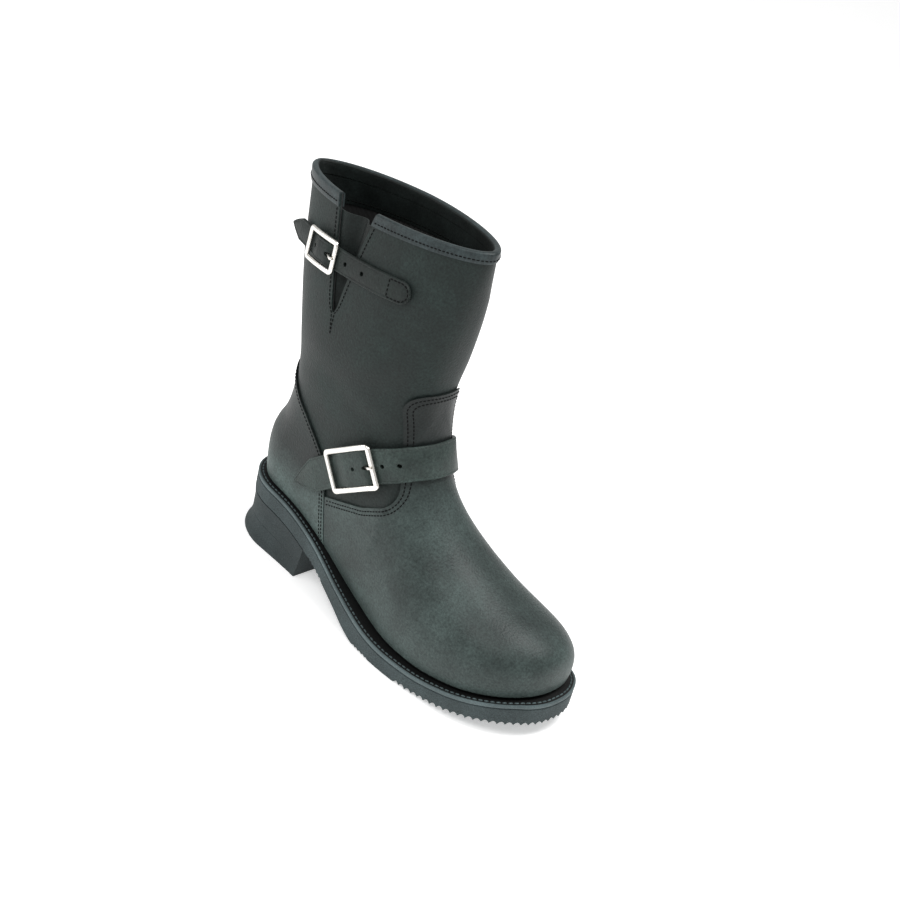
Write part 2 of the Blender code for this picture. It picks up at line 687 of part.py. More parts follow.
def make_strap(name, path, buckle, material):
    """Strap with its holes, from its free point to its sewn end."""
    strap = path.strap
    even = np.linspace(0, path.length, round(path.length / STRAP_STEP))
    tip = np.array([0.04, 0.15, 0.35, 0.65]) * strap.point
    round_end = path.length - strap.width / 2 * np.array([0.02, 0.12, 0.3, 0.6, 1.0])
    at = np.unique(np.concatenate([even, tip, round_end if strap.rounded else []]))
    half = strap_half_width(at, strap, path.length)
    low = strap_rise(at, buckle)
    high = low + strap.thick
    corners = [(-half, low), (half, low), (half, high), (-half, high)]
    sections = np.stack([path.place(np.stack([at, side, off], -1)) for side, off in corners], 1)
    made = band_solid(name, sections, material, False)
    slot = buckle.at + buckle.hole
    centres = [(slot, SLOT)] + [(slot + (i + 1) * buckle.pitch, HOLE) for i in range(buckle.holes - 1)]
    centres.append((slot - buckle.pitch, HOLE))
    for place, reach in centres:
        turn = np.linspace(0, 2 * math.pi, 10, endpoint=False)
        rim = np.stack([place + reach * np.cos(turn), HOLE * np.sin(turn)], -1)
        rings = [path.place(np.column_stack([rim, np.full(len(rim), off)])) for off in (-0.003, 0.012)]
        apply_boolean(made, ring_solid("punch", rings, material), "DIFFERENCE")
    return made


def tube(name, path, centres, radius, flat, closed, material):
    """Round bar along centres given in strap distances, flat being the direction square to its plane."""
    centres, flat = np.array(centres, float), np.array(flat, float)
    if closed:
        along = np.roll(centres, -1, 0) - np.roll(centres, 1, 0)
    else:
        along = np.gradient(centres, axis=0)
    side = np.cross(along, flat)
    side /= np.linalg.norm(side, axis=1)[:, None]
    turn = np.linspace(0, 2 * math.pi, BAR_SIDES, endpoint=False) + math.pi / BAR_SIDES
    radius = np.broadcast_to(radius, len(centres))
    rings = [centres + radius[:, None] * (math.cos(a) * side + math.sin(a) * flat) for a in turn]
    return band_solid(name, path.place(np.stack(rings, 1)), material, closed)


def frame_height(strap, buckle):
    return STRAP_UNDER + strap.thick + GAP + buckle.bar


def make_buckle(name, path, buckle, material):
    """Square frame over the strap, with a centre bar that dips under the strap."""
    strap = path.strap
    height = frame_height(strap, buckle)
    length, width, corner = buckle.length / 2, buckle.width / 2, buckle.corner
    centres = []
    for k in range(4):
        sign_a, sign_b = ((1, 1), (-1, 1), (-1, -1), (1, -1))[k]
        middle = (buckle.at + sign_a * (length - corner), sign_b * (width - corner))
        for step in range(4):
            angle = (k + step / 3) * math.pi / 2
            ahead, aside = corner * math.cos(angle), corner * math.sin(angle)
            centres.append((middle[0] + ahead, middle[1] + aside, height))
        if k in (0, 2):
            far = 2 * (length - corner)
            for share in (0.2, 0.4, 0.6, 0.8):
                centres.append((middle[0] - sign_a * share * far, sign_b * width, height))
    frame = tube(name, path, centres, buckle.bar, (0, 0, 1), True, material)
    low = CENTRE_BAR
    bar = [(-width, height), (-width, low + BAR_BEND), (-width + BAR_BEND, low),
           (width - BAR_BEND, low), (width, low + BAR_BEND), (width, height)]
    bar = [(buckle.at, t, h) for t, h in bar]
    apply_boolean(frame, tube("bar", path, bar, CENTRE_BAR, (1, 0, 0), False, material), "UNION")
    return frame


def make_prong(name, path, buckle, material):
    """Pin from the centre bar, up through the strap's hole and onto the front bar of the frame."""
    height = frame_height(path.strap, buckle)
    rest = height + buckle.bar + GAP + PRONG * 0.8
    under = 2 * CENTRE_BAR - PRONG
    hole = buckle.hole
    start = CENTRE_BAR + GAP + 0.0003
    profile = [(start, under, 1.0), (hole - 0.0030, under, 1.0), (hole - 0.0008, under + 0.0016, 1.0),
               (buckle.length / 2 - 0.0012, rest - 0.0002, 0.95), (buckle.length / 2 + 0.0004, rest, 0.8),
               (buckle.length / 2 + 0.0016, rest - 0.0001, 0.5)]
    centres = [(buckle.at + s, 0, h) for s, h, _ in profile]
    return tube(name, path, centres, [PRONG * r for _, _, r in profile], (0, 1, 0), False, material)


def main():
    for old in list(bpy.data.objects):
        bpy.data.objects.remove(old)
    leather = finish("oiled_leather", (0.030, 0.036, 0.034), 0.55, 0)
    vamp_leather = finish("vamp_leather", (0.038, 0.045, 0.043), 0.50, 0)
    counter_leather = finish("counter_leather", (0.034, 0.041, 0.039), 0.52, 0)
    strap_leather = finish("strap_leather", (0.026, 0.031, 0.030), 0.50, 0)
    binding_leather = finish("binding_leather", (0.045, 0.055, 0.062), 0.40, 0)
    gusset_leather = finish("gusset_leather", (0.018, 0.021, 0.021), 0.60, 0)
    board = finish("insole_board", (0.012, 0.012, 0.012), 0.85, 0)
    welt_rubber = finish("welt_rubber", (0.020, 0.024, 0.026), 0.60, 0)
    rubber = finish("sole_rubber", (0.035, 0.042, 0.045), 0.75, 0)
    heel_rubber = finish("heel_rubber", (0.033, 0.040, 0.042), 0.75, 0)
    nickel = finish("nickel", (0.80, 0.79, 0.76), 0.18, 1)
    prong_nickel = finish("prong_nickel", (0.80, 0.79, 0.76), 0.22, 1)

    make_outsole(rubber)
    make_heel(heel_rubber)
    make_welt(welt_rubber)
    make_insole(board)
    make_upper(leather)
    cut_overlay("vamp", VAMP_SIDE, vamp_leather)
    cut_overlay("counter", COUNTER_SIDE, counter_leather)
    make_gusset(gusset_leather)
    make_binding(binding_leather)
    sets = (("instep", INSTEP_STRAP, INSTEP_BUCKLE), ("shaft", SHAFT_STRAP, SHAFT_BUCKLE))
    for name, strap, buckle in sets:
        path = StrapPath(strap)
        make_strap(name + "_strap", path, buckle, strap_leather)
        make_buckle(name + "_buckle", path, buckle, nickel)
        make_prong(name + "_prong", path, buckle, prong_nickel)


main()
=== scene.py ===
"""Looks of a right engineer boot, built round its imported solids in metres.

The boot points along +X, its buckles look along -Y, and it stands on z = 0. Leather pieces are
sheets off one function, skin_points, which is the outside of the upper. Straps and buckles lie
along a StrapPath, in distances along the strap, across it and off the leather.
"""

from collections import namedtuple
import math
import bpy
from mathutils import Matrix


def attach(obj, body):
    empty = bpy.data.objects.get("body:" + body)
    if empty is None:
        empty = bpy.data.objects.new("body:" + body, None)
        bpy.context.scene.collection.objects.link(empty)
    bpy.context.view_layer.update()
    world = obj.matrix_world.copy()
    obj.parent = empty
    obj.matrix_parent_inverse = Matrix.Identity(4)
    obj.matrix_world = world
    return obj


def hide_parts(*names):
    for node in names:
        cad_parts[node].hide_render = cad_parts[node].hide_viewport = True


bl_info = {
    "name": "Engineer boot",
    "version": (1, 0, 0),
    "blender": (4, 5, 0),
    "location": "3D View > Sidebar > Boot",
    "description": "Leather, thread, rubber and buckles of an engineer boot",
    "category": "Object",
}

import bmesh
import bpy
from bpy.props import FloatProperty, FloatVectorProperty, PointerProperty
from mathutils import Matrix, Vector
from mathutils.bvhtree import BVHTree
import numpy as np

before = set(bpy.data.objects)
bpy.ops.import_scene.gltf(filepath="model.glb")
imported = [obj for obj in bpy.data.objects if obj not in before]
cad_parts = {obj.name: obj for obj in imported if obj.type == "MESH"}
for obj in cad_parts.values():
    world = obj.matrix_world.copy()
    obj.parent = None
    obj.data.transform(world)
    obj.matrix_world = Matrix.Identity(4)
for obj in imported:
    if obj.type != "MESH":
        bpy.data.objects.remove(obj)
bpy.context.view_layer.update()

# The last: place of the back of the feather line, thicknesses and gaps
BACK_X, MID_Y = -0.1415, -0.0095
GAP = 0.0003
UPPER_WALL, OVERLAY, BINDING, GUSSET, WELT = 0.0022, 0.0016, 0.0011, 0.0013, 0.0030
WELT_INSET = 0.0025
LINING_FROM, LEATHER_TO = -0.00125, -0.0012
FACING_NEAR, FACING_FAR, FACING_FOOT = -0.0023, -0.0032, 13.22
ROLL_FLATNESS = 0.62

# Straight lines in side view from the back of the boot to its front, from feather line to collar
Section = namedtuple("Section", "back_x back_z front_x front_z half_width leg")
SECTIONS = [
    Section(0.0022, 0.0520, 0.2915, 0.0303, 0.034, 0.00),
    Section(0.0012, 0.0617, 0.2925, 0.0428, 0.034, 0.00),
    Section(0.0003, 0.0704, 0.2892, 0.0582, 0.034, 0.00),
    Section(0.0000, 0.0781, 0.2710, 0.0678, 0.034, 0.00),
    Section(0.0004, 0.0848, 0.2425, 0.0754, 0.034, 0.00),
    Section(0.0018, 0.0926, 0.2135, 0.0866, 0.034, 0.00),
    Section(0.0052, 0.1013, 0.1878, 0.1034, 0.034, 0.15),
    Section(0.0106, 0.1110, 0.1663, 0.1258, 0.034, 0.35),
    Section(0.0150, 0.1227, 0.1541, 0.1497, 0.035, 0.60),
    Section(0.0182, 0.1374, 0.1488, 0.1732, 0.037, 0.80),
    Section(0.0180, 0.1553, 0.1488, 0.1955, 0.039, 0.95),
    Section(0.0148, 0.1821, 0.1520, 0.2188, 0.042, 1.00),
    Section(0.0035, 0.2210, 0.1566, 0.2500, 0.040, 1.00),
    Section(-0.0068, 0.2587, 0.1590, 0.2794, 0.036, 1.00),
    Section(-0.0165, 0.2942, 0.1612, 0.3072, 0.032, 1.00),
]
WIDEST = 1
COLLAR = len(SECTIONS) - 1
BAND_ROW = 13.76

# Half widths of the foot, height of the feather line, underside of the sole and its reach
PlanRow = namedtuple("PlanRow", "x lateral medial")
FOOT_PLAN = [
    PlanRow(0.000, 0.0240, 0.0245),
    PlanRow(0.035, 0.0255, 0.0255),
    PlanRow(0.075, 0.0276, 0.0262),
    PlanRow(0.110, 0.0305, 0.0261),
    PlanRow(0.150, 0.0370, 0.0330),
    PlanRow(0.185, 0.0446, 0.0426),
    PlanRow(0.215, 0.0472, 0.0469),
    PlanRow(0.245, 0.0462, 0.0459),
    PlanRow(0.291, 0.0430, 0.0419),
]
PLAN_LENGTH = 0.291
HEEL_ROUND, HEEL_POWER = 0.032, 2.1
TOE_ROUND, TOE_POWER = 0.058, 2.35
CROWN_POWER = 2.2
LEG_POWER, COLLAR_POWER = 2.3, 1.8
POWER_FALLS_FROM = 12.6
INFLARE, INFLARE_FROM, INFLARE_OVER = 0.0210, 0.100, 0.190
TUCK = 0.06
HeightRow = namedtuple("HeightRow", "x z")
FEATHER = [
    HeightRow(0.000, 0.0522),
    HeightRow(0.060, 0.0492),
    HeightRow(0.095, 0.0405),
    HeightRow(0.130, 0.0278),
    HeightRow(0.165, 0.0181),
    HeightRow(0.195, 0.0151),
    HeightRow(0.215, 0.0151),
    HeightRow(0.245, 0.0190),
    HeightRow(0.291, 0.0295),
]
TREAD = [
    HeightRow(0.000, 0.0359),
    HeightRow(0.060, 0.0329),
    HeightRow(0.095, 0.0242),
    HeightRow(0.130, 0.0112),
    HeightRow(0.147, 0.0036),
    HeightRow(0.162, 0.0000),
    HeightRow(0.215, 0.0000),
    HeightRow(0.245, 0.0030),
    HeightRow(0.291, 0.0112),
]
ReachRow = namedtuple("ReachRow", "x reach")
REACH = [
    ReachRow(0.000, 0.0082),
    ReachRow(0.095, 0.0086),
    ReachRow(0.130, 0.0112),
    ReachRow(0.160, 0.0124),
    ReachRow(0.190, 0.0108),
    ReachRow(0.225, 0.0090),
    ReachRow(0.291, 0.0094),
]

# Slit in the lateral side of the shaft, as angles round the last, and its gusset
SLIT_FOOT = 11.75
SLIT_CENTRE, SLIT_CENTRE_TOP = math.radians(80.4), math.radians(83.0)
SLIT_HALF, SLIT_HALF_TOP = math.radians(1.7), math.radians(13.0)
SLIT_ROUND = 0.06
GUSSET_MARGIN = math.radians(7)
GUSSET_FOLD = 0.009
SLIT_SEAM = math.radians(2.1)
SLIT_POINT = 11.33

# Side views of the vamp with its tongue and of the counter: corners with their radii
Corner = namedtuple("Corner", "x z radius")
VAMP_SIDE = [
    Corner(0.3300, 0.0000, 0),
    Corner(0.3300, 0.2287, 0),
    Corner(0.1480, 0.1955, 0),
    Corner(0.1362, 0.1893, 0.0135),
    Corner(0.1440, 0.1560, 0.030),
    Corner(0.1555, 0.1130, 0.016),
    Corner(0.1275, 0.0960, 0.045),
    Corner(0.0885, 0.0797, 0),
    Corner(0.1100, 0.0000, 0),
]
VAMP_SEWN = VAMP_SIDE[:-2] + [Corner(0.0585, 0.0668, 0), Corner(0.0800, 0.0000, 0)]
COUNTER_SIDE = [
    Corner(-0.0500, 0.0000, 0),
    Corner(0.1088, 0.0000, 0),
    Corner(0.0873, 0.0792, 0),
    Corner(0.0800, 0.1047, 0),
    Corner(0.0520, 0.1317, 0.050),
    Corner(0.0280, 0.1487, 0.030),
    Corner(0.0050, 0.1687, 0),
    Corner(-0.0500, 0.1837, 0),
]
ARC_STEPS = 14
SEAM_NEAR, SEAM_FAR = 0.0024, 0.0052
# The vamp's rows end this far short of the counter, whose own front edge is sewn twice below this height
SEAM_CLEAR, DOUBLE_BELOW = 0.0018, 0.0792

# One stitch: rings along it in shares of its pitch, their size and rise in shares of its half thickness
BeadRing = namedtuple("BeadRing", "along size rise")
BEAD = [
    BeadRing(-0.42, 0.25, -0.90),
    BeadRing(-0.36, 0.80, -0.35),
    BeadRing(-0.20, 1.00, 0.15),
    BeadRing(0.20, 1.00, 0.15),
    BeadRing(0.36, 0.80, -0.35),
    BeadRing(0.42, 0.25, -0.90),
]
BEAD_SIDES = 6

# Soft troughs and swells of the leather: place in side view, size along and across, and lean
Swell = namedtuple("Swell", "side x z long wide lean height")
SWELLS = [
    Swell(-1, 0.118, 0.158, 0.034, 0.010, -24, -0.0007),
    Swell(-1, 0.112, 0.176, 0.034, 0.011, -20, 0.0006),
    Swell(-1, 0.046, 0.176, 0.030, 0.012, 18, -0.0006),
    Swell(-1, 0.050, 0.160, 0.026, 0.010, 22, 0.0005),
    Swell(-1, 0.126, 0.232, 0.012, 0.040, -6, -0.0008),
    Swell(1, 0.112, 0.160, 0.036, 0.010, -24, -0.0008),
    Swell(1, 0.106, 0.178, 0.034, 0.011, -20, 0.0006),
    Swell(1, 0.046, 0.176, 0.030, 0.012, 18, -0.0006),
    Swell(-1, 0.205, 0.062, 0.040, 0.012, -30, -0.0005),
    Swell(1, 0.200, 0.062, 0.040, 0.012, -30, -0.0005),
]

# Heel block, and the toothed stretches of the sole's rim on the lateral and medial side
HEEL_LENGTH, BREAST_SLANT = 0.0820, 0.0047
LevelRow = namedtuple("LevelRow", "share reach")
HEEL_LEVELS = [
    LevelRow(0.00, 0.0032),
    LevelRow(0.07, 0.0030),
    LevelRow(0.20, 0.0010),
    LevelRow(0.45, -0.0010),
    LevelRow(0.75, -0.0010),
    LevelRow(1.00, 0.0000),
]
Teeth = namedtuple("Teeth", "side first last pitch depth")
RIM_TEETH = [
    Teeth(1, 0.088, 0.112, 0.0036, 0.0014),
    Teeth(1, 0.160, 0.180, 0.0040, 0.0012),
    Teeth(1, 0.206, 0.330, 0.0056, 0.0026),
    Teeth(-1, 0.088, 0.112, 0.0036, 0.0014),
    Teeth(-1, 0.170, 0.330, 0.0056, 0.0026),
]

# Straps and buckles, in the terms of StrapPath
Strap = namedtuple("Strap", "low_x low_z high_x high_z first last over width thick lead point rounded")
INSTEP_STRAP = Strap(0.0530, 0.0737, 0.1500, 0.1452, 53, 277, GAP + OVERLAY, 0.0250, 0.0024, 0.0, 0.026, 0)
SHAFT_STRAP = Strap(0.0100, 0.2562, 0.1180, 0.2648, 52, 128.5, 0.0, 0.0160, 0.0022, 0.032, 0.014, 1)
# How far the instep strap's line lies above its straight line in side view, by angle in degrees
BendRow = namedtuple("BendRow", "angle above")
STRAP_BEND = [
    BendRow(53, -0.0015),
    BendRow(85, 0.0022),
    BendRow(115, 0.0026),
    BendRow(150, -0.0005),
    BendRow(180, -0.0036),
    BendRow(215, -0.0030),
    BendRow(277, 0.0000),
]
STRAP_LIFT, STRAP_UNDER = 0.0008, 0.0002
TIP_BLUNT, TIP_POWER = 0.04, 0.72
Buckle = namedtuple("Buckle", "at length width bar hole pitch holes")
INSTEP_BUCKLE = Buckle(0.0750, 0.0450, 0.0292, 0.0017, 0.0168, 0.0125, 3)
SHAFT_BUCKLE = Buckle(0.0510, 0.0315, 0.0210, 0.0015, 0.0090, 0.0170, 3)
BUCKLE_CORNER, BAR_BEND = 0.0022, 0.0008
CENTRE_BAR, PRONG, RISE_TOP = 0.0014, 0.0011, 0.0020
HOLE, SLOT = 0.0016, 0.0034


def linear(code):
    """Linear colour of an sRGB hex value."""
    parts = [int(code[i:i + 2], 16) / 255 for i in (1, 3, 5)]
    return tuple(p / 12.92 if p <= 0.04045 else ((p + 0.055) / 1.055) ** 2.4 for p in parts)


def colour_property(name, description, code):
    """Colour that a user can change, starting from a hex value."""
    return FloatVectorProperty(name=name, description=description, subtype="COLOR", size=3,
                               min=0, max=1, default=linear(code))


class BootSizes(bpy.types.PropertyGroup):
    """Sizes that a maker could change without changing the boot's solids."""

    stitch_pitch: FloatProperty(name="Stitch pitch", description="Length of one stitch in the seams",
                                default=0.0029, min=0.0015, max=0.006, unit="LENGTH")
    thread: FloatProperty(name="Thread", description="Thickness of the thread in the seams",
                          default=0.0009, min=0.0003, max=0.0015, unit="LENGTH")
    welt_pitch: FloatProperty(name="Welt stitch pitch", description="Length of one stitch in the welt",
                              default=0.0042, min=0.002, max=0.008, unit="LENGTH")
    welt_thread: FloatProperty(name="Welt thread", description="Thickness of the thread in the welt",
                               default=0.0012, min=0.0005, max=0.002, unit="LENGTH")
    edge_groove: FloatProperty(name="Edge groove", description="Distance of the strap's groove from its edge",
                               default=0.0018, min=0.001, max=0.004, unit="LENGTH")


class BootColours(bpy.types.PropertyGroup):
    """Colours of the boot's materials."""

    shaft: colour_property("Shaft leather", "Mid tone of the shaft", "#18211f")
    vamp: colour_property("Vamp leather", "Mid tone of vamp and counter", "#323c3a")
    strap: colour_property("Strap leather", "Mid tone of the straps", "#2b3532")
    binding: colour_property("Binding leather", "Mid tone of the collar's binding", "#283031")
    rubber: colour_property("Rubber", "Mid tone of sole and heel", "#363f40")
    # Near-black top face of the welt: painted shade where the upper's edge overhangs it
    welt: colour_property("Welt", "Top face of the welt", "#0a0b0b")
    thread: colour_property("Thread", "Thread of the seams", "#070808")
    nickel: colour_property("Nickel", "Plating of the buckles", "#efece6")


def spline_rows(t, rows):
    """Smooth curve through the rows of a table, with row i at t = i."""
    knots = np.array(rows, float)
    last = len(knots) - 1
    t = np.clip(np.asarray(t, float), 0, last)
    i = np.minimum(t.astype(int), last - 1)
    f = (t - i)[..., None]
    ends = np.vstack([2 * knots[0] - knots[1], knots, 2 * knots[-1] - knots[-2]])
    a, b, c, d = ends[i], ends[i + 1], ends[i + 2], ends[i + 3]
    return 0.5 * (2 * b + (c - a) * f + (2 * a - 5 * b + 4 * c - d) * f**2 + (3 * b - a - 3 * c + d) * f**3)


def curve_at(x, table):
    """Smooth values at x from a table whose first column is x."""
    rows = np.array(table, float)
    xs, ys = rows[:, 0], rows[:, 1:]
    steps = np.diff(xs)[:, None]
    slopes = np.diff(ys, axis=0) / steps
    inner = (slopes[:-1] * steps[1:] + slopes[1:] * steps[:-1]) / (steps[:-1] + steps[1:])
    inner[slopes[:-1] * slopes[1:] <= 0] = 0
    tangents = np.vstack([slopes[:1], inner, slopes[-1:]])
    x = np.clip(x, xs[0], xs[-1])
    i = np.clip(np.searchsorted(xs, x) - 1, 0, len(xs) - 2)
    h = steps[i]
    t = (x - xs[i])[..., None] / h
    value = (2 * t**3 - 3 * t**2 + 1) * ys[i] + (3 * t**2 - 2 * t**3) * ys[i + 1]
    return value + (t**3 - 2 * t**2 + t) * h * tangents[i] + (t**3 - t**2) * h * tangents[i + 1]


def feather_height(x):
    return curve_at(x, FEATHER)[..., 0]


def section_height(row, x, v):
    """Height at x of the section v: straight high up, and as curved as the feather line low down."""
    share = (x - row[..., 0]) / (row[..., 2] - row[..., 0])
    straight = (1 - share) * row[..., 1] + share * row[..., 3]
    low = np.clip(1 - v / 6, 0, 1) ** 1.5
    chord = (1 - share) * feather_height(row[..., 0]) + share * feather_height(row[..., 2])
    return straight + low * (feather_height(x) - chord)


def ridge_height(x):
    """Height of the top line of toe and instep at x."""
    front = spline_rows(np.linspace(10, WIDEST, 120), SECTIONS)
    xs, zs = front[:, 2], front[:, 3]
    return np.where(x < xs[0], zs[0] + 3 * (xs[0] - x), np.interp(x, xs, zs))


def foot_half_widths(x, length):
    """Lateral and medial half widths at x from the back of a foot of this length."""
    widths = curve_at(x * PLAN_LENGTH / length, FOOT_PLAN)
    behind = np.clip(1 - x / HEEL_ROUND, 0, 1)
    ahead = np.clip((x - length + TOE_ROUND) / TOE_ROUND, 0, 1)
    rounding = (1 - behind**HEEL_POWER) ** (1 / HEEL_POWER) * (1 - ahead**TOE_POWER) ** (1 / TOE_POWER)
    return widths * rounding[..., None]


def last_points(v, phi):
    """Outside of the upper at section v and angle phi, which runs from the back over the lateral side."""
    v, phi = np.broadcast_arrays(np.asarray(v, float), np.asarray(phi, float))
    row = spline_rows(v, SECTIONS)
    back_x, front_x, half_width = row[..., 0], row[..., 2], row[..., 4]
    leg = np.clip(row[..., 5], 0, 1)
    along = (1 - np.cos(phi)) / 2
    x = back_x + along * (front_x - back_x)
    z = section_height(row, x, v)
    length = np.where(v <= WIDEST, front_x, SECTIONS[WIDEST].front_x) - back_x
    widths = foot_half_widths(np.clip(x - back_x, 0, length), length)
    base = section_height(spline_rows(np.full_like(v, WIDEST), SECTIONS), x, np.full_like(v, WIDEST))
    rise = np.clip((z - base) / np.maximum(ridge_height(x) - base, 1e-6), 0, 1)
    tucked = 1 - TUCK * (1 - v / WIDEST) ** 2
    crown = np.where(v <= WIDEST, tucked, np.sqrt(1 - rise**CROWN_POWER))
    lateral = np.sin(phi) >= 0
    foot = np.where(lateral, widths[..., 0], widths[..., 1]) * crown
    falls = np.clip((v - POWER_FALLS_FROM) / (COLLAR - POWER_FALLS_FROM), 0, 1)
    power = LEG_POWER + (COLLAR_POWER - LEG_POWER) * falls
    shaft = half_width * (1 - np.abs(2 * along - 1) ** power) ** (1 / power)
    half = (1 - leg) * foot + leg * shaft
    bend = INFLARE * np.clip((x - INFLARE_FROM) / INFLARE_OVER, 0, 1) ** 1.5 * (1 - leg)
    y = bend + np.where(lateral, -half, half)
    return np.stack([x + BACK_X, y + MID_Y, z], -1)


def swell_height(points, v):
    """Height of the leather's soft troughs and swells, none at the feather line or the collar."""
    x, z = points[..., 0] - BACK_X, points[..., 2]
    side = np.where(points[..., 1] < MID_Y, -1, 1)
    total = np.zeros(x.shape)
    for swell in SWELLS:
        lean = math.radians(swell.lean)
        dx, dz = x - swell.x, z - swell.z
        along = (dx * math.cos(lean) + dz * math.sin(lean)) / swell.long
        across = (dz * math.cos(lean) - dx * math.sin(lean)) / swell.wide
        total += swell.height * np.exp(-along**2 - across**2) * (side == swell.side)
    return total * np.clip(v - 0.5, 0, 1) * np.clip((13 - v) / 0.8, 0, 1)


def skin_points(v, phi, offset):
    """Points off the outside of the upper, outward where offset is above 0."""
    v, phi = np.broadcast_arrays(np.asarray(v, float), np.asarray(phi, float))
    dv, dphi = 0.05, 0.02
    up = last_points(v + dv, phi) - last_points(v - dv, phi)
    round_it = last_points(v, phi + dphi) - last_points(v, phi - dphi)
    normal = np.cross(round_it, up)
    normal /= np.linalg.norm(normal, axis=-1, keepdims=True)
    points = last_points(v, phi)
    return points + (offset + swell_height(points, v))[..., None] * normal


def slit_share(v):
    """0 at the foot of the slit and below it, 1 at the collar."""
    return np.clip((v - SLIT_FOOT) / (COLLAR - SLIT_FOOT), 0, 1)


def slit_edges(v):
    """Angles of the slit's front and back edge at section v, which meet at its foot."""
    share = slit_share(v)
    centre = SLIT_CENTRE + (SLIT_CENTRE_TOP - SLIT_CENTRE) * share
    half = SLIT_HALF * np.sqrt(np.minimum(share / SLIT_ROUND, 1)) + (SLIT_HALF_TOP - SLIT_HALF) * share
    return centre + half, centre - half


def grid_angles(rows, columns, short=0.0):
    """Sections and angles of a grid whose columns run from the slit's front edge to its back edge."""
    v = np.array(rows, float)[:, None]
    front, back = slit_edges(v)
    share = np.linspace(short, 1 - short, columns)[None]
    return np.broadcast_arrays(v, front + share * (2 * math.pi + back - front))


def feather_outline(phi, reach):
    """Feather line at angles phi, moved out in plan by reach, with its height left out."""
    step = 0.01
    here, after, before = (last_points(0, phi + d)[..., :2] for d in (0, step, -step))
    along = after - before
    normal = np.stack([along[..., 1], -along[..., 0]], -1)
    normal /= np.linalg.norm(normal, axis=-1, keepdims=True)
    return here + np.broadcast_to(reach, np.shape(phi))[..., None] * normal


def sole_outline(phi, further=0.0):
    """Outline of welt and sole in plan, moved out by further."""
    reach = curve_at(last_points(0, phi)[..., 0] - BACK_X, REACH)[..., 0]
    return feather_outline(phi, reach + further)


def at_height(outline, lower):
    """Outline in plan laid lower below the feather line's height."""
    return np.column_stack([outline, feather_height(outline[:, 0] - BACK_X) - lower])


def over_tread(outline, above):
    """Outline in plan laid above the sole's underside."""
    return np.column_stack([outline, curve_at(outline[:, 0] - BACK_X, TREAD)[:, 0] + above])


def solid(name, points, faces, material, smooth=40):
    """Object from points and faces, welded, facing out, and smooth where its faces meet flatly."""
    mesh = bpy.data.meshes.new(name)
    mesh.from_pydata([tuple(point) for point in points], [], faces)
    work = bmesh.new()
    work.from_mesh(mesh)
    bmesh.ops.remove_doubles(work, verts=work.verts, dist=1e-6)
    bmesh.ops.recalc_face_normals(work, faces=work.faces)
    if work.calc_volume(signed=True) < 0:
        bmesh.ops.reverse_faces(work, faces=work.faces)
    work.to_mesh(mesh)
    work.free()
    mesh.shade_smooth()
    mesh.set_sharp_from_angle(angle=math.radians(smooth))
    made = bpy.data.objects.new(name, mesh)
    bpy.context.scene.collection.objects.link(made)
    mesh.materials.append(material)
    return made


def sheet_solid(name, outer, inner, material, open_from=0):
    """Solid between two grids. Below row open_from their first and last columns are one line."""
    rows, columns = outer.shape[:2]
    size = rows * columns
    faces = []
    for i in range(rows - 1):
        for j in range(columns - 1):
            a, b = i * columns + j, i * columns + j + 1
            c, d = b + columns, a + columns
            faces += [(a, b, c, d), (a + size, b + size, c + size, d + size)]
    for i in (0, rows - 1):
        for j in range(columns - 1):
            a = i * columns + j
            faces.append((a, a + 1, a + 1 + size, a + size))
    for j in (0, columns - 1):
        for i in range(open_from, rows - 1):
            a = i * columns + j
            faces.append((a, a + columns, a + columns + size, a + size))
    return solid(name, np.vstack([outer.reshape(-1, 3), inner.reshape(-1, 3)]), faces, material)


def band_solid(name, sections, material, closed, smooth=40):
    """Solid swept through sections of equal counts, either closed in a loop or with flat ends."""
    total, count = sections.shape[:2]
    faces = []
    for i in range(total if closed else total - 1):
        k = (i + 1) % total
        for j in range(count):
            m = (j + 1) % count
            faces.append((i * count + j, i * count + m, k * count + m, k * count + j))
    if not closed:
        faces += [tuple(range(count)), tuple(range((total - 1) * count, total * count))]
    return solid(name, sections.reshape(-1, 3), faces, material, smooth)


def ring_solid(name, rings, material, smooth=40):
    """Solid through closed rings of equal counts, each end closed straight across between its sides."""
    count = len(rings[0])
    points = np.vstack(rings)
    faces = []
    for i in range(len(rings) - 1):
        for j in range(count):
            k = (j + 1) % count
            faces.append((i * count + j, i * count + k, (i + 1) * count + k, (i + 1) * count + j))
    for start in (0, (len(rings) - 1) * count):
        faces.append((start, start + 1, start + count - 1))
        for j in range(1, (count - 1) // 2):
            faces.append((start + j, start + j + 1, start + count - j - 1, start + count - j))
        if count % 2 == 0:
            half = start + count // 2
            faces.append((half - 1, half, half + 1))
    return solid(name, points, faces, material, smooth)


def apply_boolean(target, cutter, operation):
    """Keeps the result in target's own mesh and removes the cutter."""
    modifier = target.modifiers.new("cut", "BOOLEAN")
    modifier.operation = operation
    modifier.solver = "EXACT"
    modifier.object = cutter
    graph = bpy.context.evaluated_depsgraph_get()
    mesh = bpy.data.meshes.new_from_object(target.evaluated_get(graph))
    target.modifiers.remove(modifier)
    target.data = mesh
    bpy.data.objects.remove(cutter)


